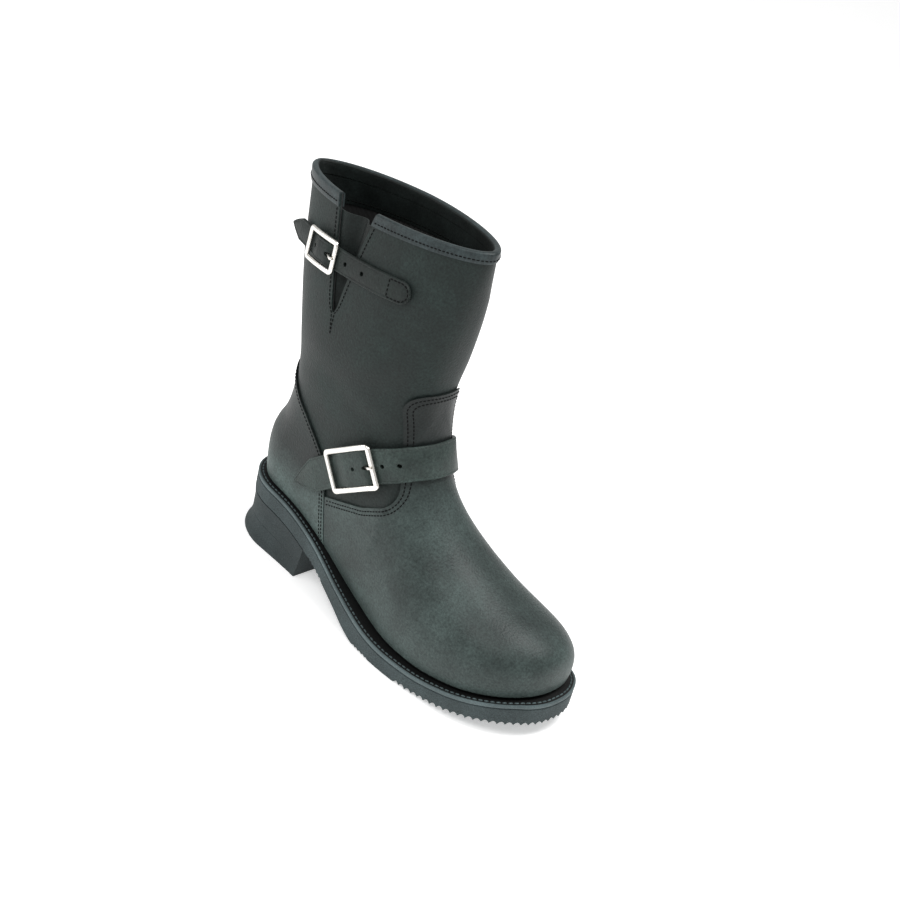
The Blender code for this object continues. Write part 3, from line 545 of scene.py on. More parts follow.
def rounded_outline(corners):
    """Corner points with each corner that has a radius turned into an arc."""
    outline = []
    for i, corner in enumerate(corners):
        here = Vector((corner.x, corner.z))
        before = (Vector(corners[i - 1][:2]) - here).normalized()
        after = (Vector(corners[(i + 1) % len(corners)][:2]) - here).normalized()
        if not corner.radius:
            outline.append(here)
            continue
        half = before.angle(after) / 2
        centre = here + (before + after).normalized() * corner.radius / math.sin(half)
        start = here + before * corner.radius / math.tan(half) - centre
        end = here + after * corner.radius / math.tan(half) - centre
        for step in range(ARC_STEPS + 1):
            outline.append(centre + corner.radius * start.slerp(end, step / ARC_STEPS))
    return outline


def inside_distance(x, z, corners):
    """Distance from a side view's outline, above 0 inside it."""
    outline = np.array([tuple(point) for point in rounded_outline(corners)])
    nearest = np.full(x.shape, 1.0)
    inside = np.zeros(x.shape, bool)
    for (ax, az), (bx, bz) in zip(outline, np.roll(outline, -1, 0)):
        ex, ez = bx - ax, bz - az
        share = np.clip(((x - ax) * ex + (z - az) * ez) / (ex**2 + ez**2 + 1e-15), 0, 1)
        nearest = np.minimum(nearest, np.hypot(x - ax - share * ex, z - az - share * ez))
        crosses = (az > z) != (bz > z)
        inside ^= crosses & (x < ax + (z - az) * ex / (ez if abs(ez) > 1e-12 else 1e-12))
    return np.where(inside, nearest, -nearest)


def contour_lines(points, normals, level):
    """Lines where level crosses 0 on a grid, each as its points and normals in order."""
    places, links = {}, {}
    rows, columns = level.shape
    flips = level > 0
    near, far, above, beside = flips[:-1, :-1], flips[1:, 1:], flips[1:, :-1], flips[:-1, 1:]
    mixed = (near != far) | (above != beside) | (near != above)
    for i, j in zip(*np.nonzero(mixed)):
        ring = [(i, j), (i + 1, j), (i + 1, j + 1), (i, j + 1)]
        met = []
        for a, b in zip(ring, ring[1:] + ring[:1]):
            if flips[a] != flips[b]:
                key = (min(a, b), max(a, b))
                share = level[key[0]] / (level[key[0]] - level[key[1]])
                places[key] = tuple((1 - share) * grid[key[0]] + share * grid[key[1]]
                                    for grid in (points, normals))
                met.append(key)
        for a, b in zip(met[::2], met[1::2]):
            links.setdefault(a, []).append(b)
            links.setdefault(b, []).append(a)
    lines, used = [], set()
    for start in sorted(links, key=lambda key: len(links[key])):
        if start in used:
            continue
        line, here = [], start
        while here is not None:
            used.add(here)
            line.append(places[here])
            here = next((k for k in links[here] if k not in used), None)
        lines.append((np.array([p for p, _ in line]), np.array([n for _, n in line])))
    return lines


class Thread:
    """Collects single stitches, as small rounded beads, into one mesh."""

    def __init__(self, thickness):
        self.thickness = thickness
        self.points, self.faces = [], []

    def sew(self, line, normals, pitch):
        """Stitches end to end along a line, each sinking into the leather at its ends."""
        steps = np.linalg.norm(np.diff(line, axis=0), axis=1)
        distance = np.concatenate([[0], np.cumsum(steps)])
        count = int(distance[-1] / pitch)
        if count < 1:
            return
        half = self.thickness / 2
        turn = np.linspace(0, 2 * math.pi, BEAD_SIDES, endpoint=False)
        for k in range(count):
            middle = (k + 0.5) * distance[-1] / count
            at = middle + np.array([ring.along for ring in BEAD]) * pitch
            centre = np.stack([np.interp(at, distance, line[:, c]) for c in range(3)], -1)
            out = np.array([np.interp(middle, distance, normals[:, c]) for c in range(3)])
            out /= np.linalg.norm(out)
            along = centre[-1] - centre[0]
            side = np.cross(along, out)
            side /= np.linalg.norm(side)
            start = len(self.points)
            for ring, place in zip(BEAD, centre):
                for a in turn:
                    round_it = math.cos(a) * side + math.sin(a) * out
                    self.points.append(place + half * (ring.rise * out + ring.size * round_it))
            for i in range(len(BEAD) - 1):
                low = start + BEAD_SIDES * i
                high = low + BEAD_SIDES
                for j in range(BEAD_SIDES):
                    m = (j + 1) % BEAD_SIDES
                    self.faces.append((low + j, low + m, high + m, high + j))
            last = start + BEAD_SIDES * (len(BEAD) - 1)
            self.faces += [tuple(range(start, start + BEAD_SIDES)), tuple(range(last, last + BEAD_SIDES))]

    def make(self, name, material):
        return solid(name, self.points, self.faces, material, 60)


class StrapPath:
    """Line of a strap round the boot, read by distance along it, across it and off the leather."""

    def __init__(self, strap):
        self.strap = strap
        grid_v = np.linspace(0, COLLAR, 141)
        grid_phi = np.linspace(0, 2 * math.pi, 181)
        grid = skin_points(grid_v[:, None], grid_phi[None], strap.over)
        columns = len(grid_phi)
        faces = []
        for i in range(len(grid_v) - 1):
            for j in range(columns - 1):
                a = i * columns + j
                faces.append((a, a + 1, a + columns + 1, a + columns))
        leather = BVHTree.FromPolygons([tuple(point) for point in grid.reshape(-1, 3)], faces)
        run = np.array([strap.high_x - strap.low_x, 0, strap.high_z - strap.low_z])
        run /= np.linalg.norm(run)
        across = np.array([-run[2], 0, run[0]])
        start = np.array([strap.low_x + BACK_X, 0, strap.low_z])
        middles = []
        for angle in np.linspace(strap.first, strap.last, 100):
            line = skin_points(grid_v, math.radians(angle), strap.over)
            bend = 0 if strap.rounded else curve_at(angle, STRAP_BEND)[0]
            side = (line - start) @ across - bend
            i = np.flatnonzero(np.diff(np.sign(side)))[0]
            share = side[i] / (side[i] - side[i + 1])
            middles.append(line[i] + share * (line[i + 1] - line[i]))
        middles = np.array(middles)
        along = np.gradient(middles, axis=0)
        along /= np.linalg.norm(along, axis=1)[:, None]
        outward = np.cross(along, across)
        outward *= np.sign((outward * (middles - middles.mean(0))).sum(1))[:, None]
        self.lines(leather, middles, outward, across)

    def lines(self, leather, middles, outward, across):
        """Lays a straight line across the strap at each place, just clear of the leather."""
        half = self.strap.width / 2
        places = np.linspace(-half, half, 5)
        far = 0.04
        raised, tilts = [], []
        for middle, out in zip(middles, outward):
            heights = []
            for place in places:
                origin = Vector(middle + place * across + far * out)
                distance = leather.ray_cast(origin, Vector(-out))[3]
                heights.append(0 if distance is None else far - distance)
            tilt = (heights[-1] - heights[0]) / (2 * half)
            tilts.append(tilt)
            raised.append(max(h - tilt * place for h, place in zip(heights, places)))
        weights = np.array([1, 2, 3, 2, 1]) / 9
        tilts = np.convolve(np.pad(tilts, 2, "edge"), weights, "valid")
        raised = np.convolve(np.pad(raised, 2, "edge"), weights, "valid") + STRAP_LIFT
        self.origins = middles + raised[:, None] * outward
        self.across = across + tilts[:, None] * outward
        self.across /= np.linalg.norm(self.across, axis=1)[:, None]
        steps = np.linalg.norm(np.diff(self.origins, axis=0), axis=1)
        self.distance = np.concatenate([[0], np.cumsum(steps)]) + self.strap.lead
        self.length = self.distance[-1]
        along = np.gradient(self.origins, axis=0)
        self.out = np.cross(along, self.across)
        self.out *= np.sign((self.out * outward).sum(1))[:, None]
        self.out /= np.linalg.norm(self.out, axis=1)[:, None]

    def place(self, points):
        """World places of points given as (along, across, off the leather)."""
        points = np.asarray(points, float)
        at, across, off = points[..., 0], points[..., 1], points[..., 2]

        def read(values):
            return np.stack([np.interp(at, self.distance, values[:, k]) for k in range(3)], -1)

        first = self.origins[2] - self.origins[0]
        first /= np.linalg.norm(first)
        before = np.minimum(at - self.distance[0], 0)[..., None] * first
        line = read(self.origins) + before
        return line + across[..., None] * read(self.across) + off[..., None] * read(self.out)


def strap_rise(at, buckle):
    """How far the strap's underside lies off its line: up over the centre bar, down under the frame."""
    hump = 2 * CENTRE_BAR + GAP
    front, back = at - buckle.at, buckle.at - at
    reach = buckle.length / 2 - buckle.bar
    ahead = np.clip((reach - front) / (reach - buckle.hole + RISE_TOP), 0, 1)
    behind = np.clip((reach - back) / (reach - RISE_TOP), 0, 1)
    share = np.where(at > buckle.at, ahead, behind)
    return STRAP_UNDER + (hump - STRAP_UNDER) * share**2 * (3 - 2 * share)


def strap_half_width(at, strap, length):
    """Half the width at a place: a point at the free end, and round or square at the sewn end."""
    half = strap.width / 2
    point = np.clip(at / strap.point, 0, 1)
    wide = half * (TIP_BLUNT + (1 - TIP_BLUNT) * point**TIP_POWER)
    if strap.rounded:
        left = np.clip((length - at) / half, 0, 1)
        wide = np.minimum(wide, half * np.sqrt(np.maximum(1 - (1 - left) ** 2, 0.02)))
    return wide


def tube(name, path, centres, wide, high, flat, closed, material):
    """Bar along centres given in strap distances, wide in its plane and high square to it."""
    centres, flat = np.array(centres, float), np.array(flat, float)
    ahead = np.roll(centres, -1, 0) - centres
    if not closed:
        ahead[-1] = ahead[-2]
    ahead /= np.linalg.norm(ahead, axis=1)[:, None]
    behind = np.roll(ahead, 1, 0) if closed else np.vstack([ahead[:1], ahead[:-1]])
    along = ahead + behind
    side = np.cross(along, flat)
    side /= np.linalg.norm(side, axis=1)[:, None]
    wide = np.broadcast_to(wide, len(centres))[:, None]
    high = np.broadcast_to(high, len(centres))[:, None]
    rings = []
    for a in np.linspace(0, 2 * math.pi, 16, endpoint=False):
        c, s = math.cos(a), math.sin(a)
        box = (abs(c) ** 3 + abs(s) ** 3) ** (-1 / 3)
        rings.append(centres + wide * c * box * side + high * s * box * flat)
    return band_solid(name, path.place(np.stack(rings, 1)), material, closed, 50)


def add_node(tree, kind, links=None, **settings):
    """Adds a shader node with its settings, and its sockets set or linked by name or number."""
    node = tree.nodes.new("ShaderNode" + kind)
    for key, value in settings.items():
        setattr(node, key, value)
    for socket, source in (links or {}).items():
        if isinstance(source, bpy.types.NodeSocket):
            tree.links.new(source, node.inputs[socket])
        else:
            node.inputs[socket].default_value = source
    return node


def per_mm(size):
    """Scale of a pattern whose marks are size millimetres apart. A wave's bands lie 0.31 of that apart,
    and 0.36 of it where they run diagonally."""
    return 1000 / size


def start_material(name, roughness, **constants):
    """New material with its tree, shader and object coordinates. Constants sit on the shader itself."""
    material = bpy.data.materials.new(name)
    material.use_nodes = True
    tree = material.node_tree
    shader = tree.nodes["Principled BSDF"]
    shader.inputs["Roughness"].default_value = roughness
    for socket, value in constants.items():
        shader.inputs[socket.replace("_", " ")].default_value = value
    return material, tree, shader, add_node(tree, "TexCoord").outputs["Object"]


def tone(colour, factor):
    return (*(min(part * factor, 1) for part in colour[:3]), 1)


def waxed_leather(name, colour, roughness, patch=38, contrast=1.0, grain=1.0, low=(0, 1.0), high=(1, 1.0)):
    """Waxed pull-up cowhide, drummed and buffed: wax drawn from where the hide is pulled leaves pale
    clouds, the buffed grain breaks the gloss up, and fine nap scatters a soft light. Low and high are
    two heights with the share of the colour there: painted light and shade that scale the colour by height."""
    material, tree, shader, place = start_material(name, roughness, Sheen_Weight=0.02, Sheen_Roughness=0.5,
                                                   Specular_IOR_Level=0.24)
    clouds = add_node(tree, "TexNoise", {"Vector": place, "Scale": per_mm(patch), "Detail": 6.0,
                                         "Roughness": 0.62})
    spread = 0.16 / contrast
    ramp = add_node(tree, "ValToRGB", {"Fac": clouds.outputs["Fac"]})
    ramp.color_ramp.elements[0].position = 0.5 - spread
    ramp.color_ramp.elements[0].color = tone(colour, 0.62)
    ramp.color_ramp.elements[1].position = 0.5 + spread
    ramp.color_ramp.elements[1].color = tone(colour, 1.5)
    middle = ramp.color_ramp.elements.new(0.5)
    middle.color = tone(colour, 1.0)
    nap = add_node(tree, "TexNoise", {"Vector": place, "Scale": per_mm(1.7), "Detail": 4.0,
                                      "Roughness": 0.75})
    shade = add_node(tree, "MapRange", {"Value": nap.outputs["Fac"], "From Min": 0.3, "From Max": 0.7,
                                        "To Min": 0.55, "To Max": 1.5})
    mixed = add_node(tree, "VectorMath", {0: ramp.outputs["Color"], 1: shade.outputs["Result"]},
                     operation="MULTIPLY")
    height = add_node(tree, "SeparateXYZ", {"Vector": place})
    # Painted light and shade: the colour scaled by height, from low's share to high's share
    painted_light_by_height = add_node(tree, "MapRange", {"Value": height.outputs["Z"], "From Min": low[0], "From Max": high[0],
                                       "To Min": low[1], "To Max": high[1]}, interpolation_type="SMOOTHSTEP")
    mixed = add_node(tree, "VectorMath", {0: mixed.outputs["Vector"], 1: painted_light_by_height.outputs["Result"]},
                     operation="MULTIPLY")
    tree.links.new(mixed.outputs["Vector"], shader.inputs["Base Color"])
    gloss = add_node(tree, "MapRange", {"Value": clouds.outputs["Fac"], "From Min": 0.3, "From Max": 0.7,
                                        "To Min": roughness - 0.07, "To Max": roughness + 0.07})
    tree.links.new(gloss.outputs["Result"], shader.inputs["Roughness"])
    pores = add_node(tree, "TexVoronoi", {"Vector": place, "Scale": per_mm(1.5), "Randomness": 1.0},
                     feature="SMOOTH_F1")
    both = add_node(tree, "Math", {0: pores.outputs["Distance"], 1: nap.outputs["Fac"]}, operation="ADD")
    bump = add_node(tree, "Bump", {"Height": both.outputs["Value"], "Strength": 0.35 * grain,
                                   "Distance": 0.0005})
    tree.links.new(bump.outputs["Normal"], shader.inputs["Normal"])
    return material


def moulded_rubber(name, colour, roughness, speck=0.9, contrast=1.0):
    """Nitrile rubber, moulded and trimmed on a wheel: the trimmed side is matte and full of fine specks."""
    material, tree, shader, place = start_material(name, roughness, Specular_IOR_Level=0.3)
    specks = add_node(tree, "TexNoise", {"Vector": place, "Scale": per_mm(speck), "Detail": 4.0,
                                         "Roughness": 0.75})
    stains = add_node(tree, "TexNoise", {"Vector": place, "Scale": per_mm(26), "Detail": 3.0})
    fine = add_node(tree, "MapRange", {"Value": specks.outputs["Fac"], "From Min": 0.3, "From Max": 0.7,
                                       "To Min": 1 - 0.55 * contrast, "To Max": 1 + 0.75 * contrast})
    wide = add_node(tree, "MapRange", {"Value": stains.outputs["Fac"], "From Min": 0.3, "From Max": 0.7,
                                       "To Min": 0.82, "To Max": 1.18})
    both = add_node(tree, "Math", {0: fine.outputs["Result"], 1: wide.outputs["Result"]},
                    operation="MULTIPLY")
    mixed = add_node(tree, "VectorMath", {0: tuple(colour[:3]), 1: both.outputs["Value"]},
                     operation="MULTIPLY")
    tree.links.new(mixed.outputs["Vector"], shader.inputs["Base Color"])
    bump = add_node(tree, "Bump", {"Height": specks.outputs["Fac"], "Strength": 0.5, "Distance": 0.0005})
    tree.links.new(bump.outputs["Normal"], shader.inputs["Normal"])
    return material


def twisted_thread(name, colour):
    """Waxed polyester thread, twisted from three strands: wax gives it a low sheen on dark fibre. The
    twist is too fine to show, so its shades are drawn 1.5 mm apart."""
    material, tree, shader, place = start_material(name, 0.7, Specular_IOR_Level=0.12)
    twist = add_node(tree, "TexWave", {"Vector": place, "Scale": per_mm(4.8), "Distortion": 2.0})
    shade = add_node(tree, "MapRange", {"Value": twist.outputs["Fac"], "To Min": 0.7, "To Max": 1.2})
    mixed = add_node(tree, "VectorMath", {0: tuple(colour[:3]), 1: shade.outputs["Result"]},
                     operation="MULTIPLY")
    tree.links.new(mixed.outputs["Vector"], shader.inputs["Base Color"])
    return material


def plated_nickel(name, colour):
    """Cast brass, bright nickel plated: mirror-like, with the cast skin's shallow waves and fine wear."""
    material, tree, shader, place = start_material(name, 0.16, Metallic=1.0)
    wear = add_node(tree, "TexNoise", {"Vector": place, "Scale": per_mm(3.5), "Detail": 5.0,
                                       "Roughness": 0.7})
    shade = add_node(tree, "MapRange", {"Value": wear.outputs["Fac"], "From Min": 0.32, "From Max": 0.5,
                                        "To Min": 0.78, "To Max": 1.0})
    mixed = add_node(tree, "VectorMath", {0: tuple(colour[:3]), 1: shade.outputs["Result"]},
                     operation="MULTIPLY")
    tree.links.new(mixed.outputs["Vector"], shader.inputs["Base Color"])
    gloss = add_node(tree, "MapRange", {"Value": wear.outputs["Fac"], "From Min": 0.3, "From Max": 0.7,
                                        "To Min": 0.30, "To Max": 0.14})
    tree.links.new(gloss.outputs["Result"], shader.inputs["Roughness"])
    bump = add_node(tree, "Bump", {"Height": wear.outputs["Fac"], "Strength": 0.25, "Distance": 0.0006})
    tree.links.new(bump.outputs["Normal"], shader.inputs["Normal"])
    return material


def brushed_cotton(name, code):
    """Cotton drill, woven and brushed: a black nap whose twill is too fine to show, so its rows are
    drawn 3.5 mm apart."""
    material, tree, shader, place = start_material(name, 0.95, Sheen_Weight=0.2)
    rows = add_node(tree, "TexWave", {"Vector": place, "Scale": per_mm(9.6), "Distortion": 3.0,
                                      "Detail": 2.0}, bands_direction="DIAGONAL")
    shade = add_node(tree, "MapRange", {"Value": rows.outputs["Fac"], "To Min": 0.6, "To Max": 1.5})
    mixed = add_node(tree, "VectorMath", {0: linear(code), 1: shade.outputs["Result"]}, operation="MULTIPLY")
    tree.links.new(mixed.outputs["Vector"], shader.inputs["Base Color"])
    bump = add_node(tree, "Bump", {"Height": rows.outputs["Fac"], "Strength": 0.4, "Distance": 0.0004})
    tree.links.new(bump.outputs["Normal"], shader.inputs["Normal"])
    return material


def keep(piece, slot, *nodes):
    """Fastens a finished piece to the boot and hides the nodes that it stands for. Its slot is not used."""
    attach(piece, "root")
    if nodes:
        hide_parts(*nodes)


def material_of(name):
    made = bpy.data.materials.get(name)
    if made is None:
        raise RuntimeError("no material named " + name + ": make the finishes first")
    return made


class BOOT_OT_finishes(bpy.types.Operator):
    """Make every material of the boot"""

    bl_idname = "boot.finishes"
    bl_label = "Finishes"

    def execute(self, context):
        colours = context.scene.boot_colours
        waxed_leather("shaft_waxed_leather", colours.shaft, 0.58, patch=42, contrast=0.85)
        # The vamp's tongue is darkened higher up as painted shade; the counter is lightened low down and
        # darkened higher up as painted light and shade
        waxed_leather("vamp_waxed_leather", colours.vamp, 0.45, patch=46, contrast=0.9, grain=0.8,
                      low=(0.105, 1.0), high=(0.150, 0.25))
        waxed_leather("counter_waxed_leather", colours.vamp, 0.5, patch=30, contrast=0.9, grain=0.8,
                      low=(0.056, 1.8), high=(0.098, 0.35))
        waxed_leather("instep_strap_waxed_leather", colours.strap, 0.52, patch=24, contrast=0.9)
        waxed_leather("shaft_strap_waxed_leather", tone(colours.strap, 0.4), 0.58, patch=24, contrast=0.9)
        waxed_leather("binding_rolled_leather", colours.binding, 0.42, patch=14, contrast=0.9, grain=0.6)
        # The gusset is the shaft leather at 0.6 of its tone: painted shade in the slit's recess
        waxed_leather("gusset_painted_shade_leather", tone(colours.shaft, 0.6), 0.62, patch=26)
        waxed_leather("facing_split_leather", tone(colours.shaft, 0.5), 0.6, patch=20)
        moulded_rubber("sole_moulded_rubber", colours.rubber, 0.78)
        # The heel's rubber is the sole's at 0.72 of its tone: painted shade on the heel block
        moulded_rubber("heel_painted_shade_rubber", tone(colours.rubber, 0.72), 0.74, contrast=0.8)
        # The welt's top face in the near-black welt colour: painted shade
        moulded_rubber("welt_top_painted_shade", colours.welt, 0.6, speck=1.2, contrast=0.6)
        # The welt's edge at twice the sole rubber's tone: a painted highlight along its rounded edge
        moulded_rubber("welt_edge_painted_highlight", tone(colours.rubber, 2.0), 0.6, speck=1.0, contrast=0.5)
        twisted_thread("seam_waxed_thread", colours.thread)
        twisted_thread("welt_waxed_thread", tone(colours.rubber, 2.0))
        plated_nickel("buckle_plated_nickel", colours.nickel)
        brushed_cotton("lining_brushed_cotton", "#0a0b0b")
        moulded_rubber("insole_pressed_board", linear("#1c1c1b"), 0.9, speck=2.0, contrast=0.6)
        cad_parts["insole"].data.materials.clear()
        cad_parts["insole"].data.materials.append(material_of("insole_pressed_board"))
        return {"FINISHED"}


class BOOT_OT_shaft(bpy.types.Operator):
    """Make the upper's leather, its lining and the facing inside the collar"""

    bl_idname = "boot.shaft"
    bl_label = "Shaft"

    def execute(self, context):
        foot = np.linspace(0, SLIT_FOOT, 116)
        above = SLIT_FOOT + (COLLAR - SLIT_FOOT) * np.linspace(0, 1, 44)[1:] ** 1.5
        v, phi = grid_angles(np.concatenate([foot, above]), 220)
        leather = sheet_solid("shaft_leather", skin_points(v, phi, 0), skin_points(v, phi, LEATHER_TO),
                              material_of("shaft_waxed_leather"), len(foot) - 1)
        keep(leather, "oiled_leather", "upper")
        foot, above = foot[::2], above[::2]
        v, phi = grid_angles(np.concatenate([foot, above]), 110)
        near, far = skin_points(v, phi, LINING_FROM), skin_points(v, phi, -UPPER_WALL)
        cotton = material_of("lining_brushed_cotton")
        lining = sheet_solid("shaft_lining", near, far, cotton, len(foot) - 1)
        keep(lining, "oiled_leather")
        v, phi = grid_angles(np.linspace(FACING_FOOT, BAND_ROW - 0.02, 8), 160, 0.026)
        near, far = skin_points(v, phi, FACING_NEAR), skin_points(v, phi, FACING_FAR)
        facing = sheet_solid("collar_facing", near, far, material_of("facing_split_leather"))
        keep(facing, "oiled_leather")
        return {"FINISHED"}


def cut_overlay(name, corners, material):
    """Leather overlay inside a side view, 0.3 mm off the upper, cut by a prism."""
    v, phi = grid_angles(np.linspace(0.2, 10.6, 104), 200)
    outside, inside = skin_points(v, phi, GAP + OVERLAY), skin_points(v, phi, GAP)
    overlay = sheet_solid(name, outside, inside, material, len(v))
    outline = rounded_outline(corners)
    sides = [[(x + BACK_X, y, z) for x, z in outline] for y in (-0.1, 0.1)]
    count = len(outline)
    faces = [tuple(range(count)), tuple(range(count, 2 * count))]
    faces += [(i, (i + 1) % count, (i + 1) % count + count, i + count) for i in range(count)]
    apply_boolean(overlay, solid("prism", np.array(sides).reshape(-1, 3), faces, material), "INTERSECT")
    overlay.data.shade_smooth()
    overlay.data.set_sharp_from_angle(angle=math.radians(40))
    return overlay


class BOOT_OT_overlays(bpy.types.Operator):
    """Cut the vamp and the counter"""

    bl_idname = "boot.overlays"
    bl_label = "Vamp and counter"

    def execute(self, context):
        vamp = cut_overlay("vamp_leather", VAMP_SIDE, material_of("vamp_waxed_leather"))
        keep(vamp, "vamp_leather", "vamp")
        counter = cut_overlay("counter_leather", COUNTER_SIDE, material_of("counter_waxed_leather"))
        keep(counter, "counter_leather", "counter")
        return {"FINISHED"}


class BOOT_OT_seams(bpy.types.Operator):
    """Sew the rows of stitches of vamp, counter, slit and facing"""

    bl_idname = "boot.seams"
    bl_label = "Seams"

    def execute(self, context):
        sizes = context.scene.boot_sizes
        thread = Thread(sizes.thread)
        v, phi = grid_angles(np.linspace(0.25, 10.6, 140), 320)
        points = skin_points(v, phi, GAP + OVERLAY)
        normals = (points - skin_points(v, phi, 0)) / (GAP + OVERLAY)
        x, z = points[..., 0] - BACK_X, points[..., 2]
        in_vamp = inside_distance(x, z, VAMP_SEWN)
        in_counter = inside_distance(x, z, COUNTER_SIDE)
        for distance in (SEAM_NEAR, SEAM_FAR):
            for line, out in contour_lines(points, normals, in_vamp - distance):
                clear = inside_distance(line[:, 0] - BACK_X, line[:, 2], COUNTER_SIDE) < -SEAM_CLEAR
                self.sew_runs(thread, line, out, clear, sizes.stitch_pitch)
            for line, out in contour_lines(points, normals, in_counter - distance):
                clear = (line[:, 2] < DOUBLE_BELOW) | (distance == SEAM_NEAR)
                self.sew_runs(thread, line, out, clear, sizes.stitch_pitch)
        rows = np.linspace(SLIT_POINT, BAND_ROW - 0.03, 60)
        front, back = slit_edges(rows)
        margin = SLIT_SEAM * np.clip((rows - SLIT_POINT) / 0.75, 0, 1)
        for angles in (front + margin, back - margin):
            line = skin_points(rows, angles, 0)
            out = (skin_points(rows, angles, 0.001) - line) / 0.001
            thread.sew(line, out, sizes.stitch_pitch)
        v, phi = grid_angles([13.30], 500, 0.03)
        line = skin_points(v, phi, FACING_FAR)[0]
        thread.sew(line, (line - skin_points(v, phi, 0)[0]) / -FACING_FAR, sizes.stitch_pitch)
        keep(thread.make("seam_thread", material_of("seam_waxed_thread")), "oiled_leather")
        return {"FINISHED"}

    def sew_runs(self, thread, line, out, clear, pitch):
        """Sews the unbroken runs of a line where clear holds."""
        ends = np.flatnonzero(np.diff(np.concatenate([[0], clear.astype(int), [0]])))
        for start, stop in zip(ends[::2], ends[1::2]):
            if stop - start > 4:
                thread.sew(line[start:stop], out[start:stop], pitch)


class BOOT_OT_collar(bpy.types.Operator):
    """Make the rolled binding with its stitches, and the gusset behind the slit"""

    bl_idname = "boot.collar"
    bl_label = "Collar and gusset"

    def execute(self, context):
        sizes = context.scene.boot_sizes
        rows = np.array([BAND_ROW, BAND_ROW + 0.08, 13.9, COLLAR])
        v, phi = grid_angles(rows, 220)
        out_near, out_far = skin_points(v, phi, GAP), skin_points(v, phi, GAP + BINDING)
        in_near = skin_points(v, phi, -UPPER_WALL - GAP)
        in_far = skin_points(v, phi, -UPPER_WALL - GAP - BINDING)
        up = out_near[-1] - out_near[0]
        up /= np.linalg.norm(up, axis=-1, keepdims=True)
        outward = (out_far[-1] - out_near[-1]) / BINDING
        middle = (out_near[-1] + in_near[-1]) / 2
        reach = UPPER_WALL / 2 + GAP + BINDING
        section = [out_near[0], out_near[0] + 0.7 * (out_far[0] - out_near[0]),
                   out_far[0] * 0.5 + out_far[1] * 0.5, out_far[1], out_far[2], out_far[3]]
        for angle in np.radians([20, 45, 70, 90, 110, 135, 160]):
            aside, above = reach * math.cos(angle), ROLL_FLATNESS * reach * math.sin(angle)
            section.append(middle + aside * outward + above * up)
        section += [in_far[3], in_far[2], in_far[1], in_far[0], in_near[0], in_near[3] + GAP * up,
                    out_near[3] + GAP * up]
        rolled = material_of("binding_rolled_leather")
        binding = band_solid("collar_roll", np.stack(section, 1), rolled, False, 50)
        # The roll's inner side takes the darker facing material: painted shade inside the collar
        binding.data.materials.append(material_of("facing_split_leather"))
        for face in binding.data.polygons:
            face.material_index = int(11 <= face.index % len(section) <= 16)
        keep(binding, "binding_leather", "collar_binding")
        thread = Thread(sizes.thread)
        v, phi = grid_angles([BAND_ROW + 0.09], 600, 0.003)
        line = skin_points(v, phi, GAP + BINDING)[0]
        thread.sew(line, (line - skin_points(v, phi, 0)[0]) / (GAP + BINDING), sizes.stitch_pitch)
        keep(thread.make("binding_thread", material_of("seam_waxed_thread")), "binding_leather")

        v = np.linspace(SLIT_FOOT - 0.25, BAND_ROW - 0.05, 60)[:, None]
        front, back = slit_edges(v)
        across = np.linspace(0, 1, 60)[None]
        phi = back - GUSSET_MARGIN + across * (front - back + 2 * GUSSET_MARGIN)
        inside = np.clip((across - 0.25) / 0.5, 0, 1)
        fold = GUSSET_FOLD * np.sin(math.pi * inside) ** 2 * np.sqrt(slit_share(v))
        near = UPPER_WALL + GAP + fold
        v, phi = np.broadcast_arrays(v, phi)
        front_face, back_face = skin_points(v, phi, -near), skin_points(v, phi, -near - GUSSET)
        gusset = sheet_solid("gusset_leather", front_face, back_face, material_of("gusset_painted_shade_leather"))
        keep(gusset, "gusset_leather", "gusset")
        return {"FINISHED"}


def even_angles(count):
    """Angles round the sole at equal steps along its rim, and the distances there."""
    fine = np.linspace(0, 2 * math.pi, 2881)
    line = sole_outline(fine)
    distance = np.concatenate([[0], np.cumsum(np.linalg.norm(np.diff(line, axis=0), axis=1))])
    places = np.linspace(0, distance[-1], count, endpoint=False)
    return np.interp(places, distance, fine), places


def tooth_heights(phi, places):
    """How far the rim rises above the tread: pointed teeth with round valleys between them."""
    x = sole_outline(phi)[:, 0] - BACK_X
    height = np.zeros(len(phi))
    for teeth in RIM_TEETH:
        here = (np.sin(phi) >= 0) == (teeth.side > 0)
        fade = np.clip((x - teeth.first) / 0.003, 0, 1) * np.clip((teeth.last - x) / 0.003, 0, 1)
        wave = np.abs(np.sin(math.pi * places / teeth.pitch)) ** 0.75
        height = np.maximum(height, here * fade * wave * teeth.depth)
    return height


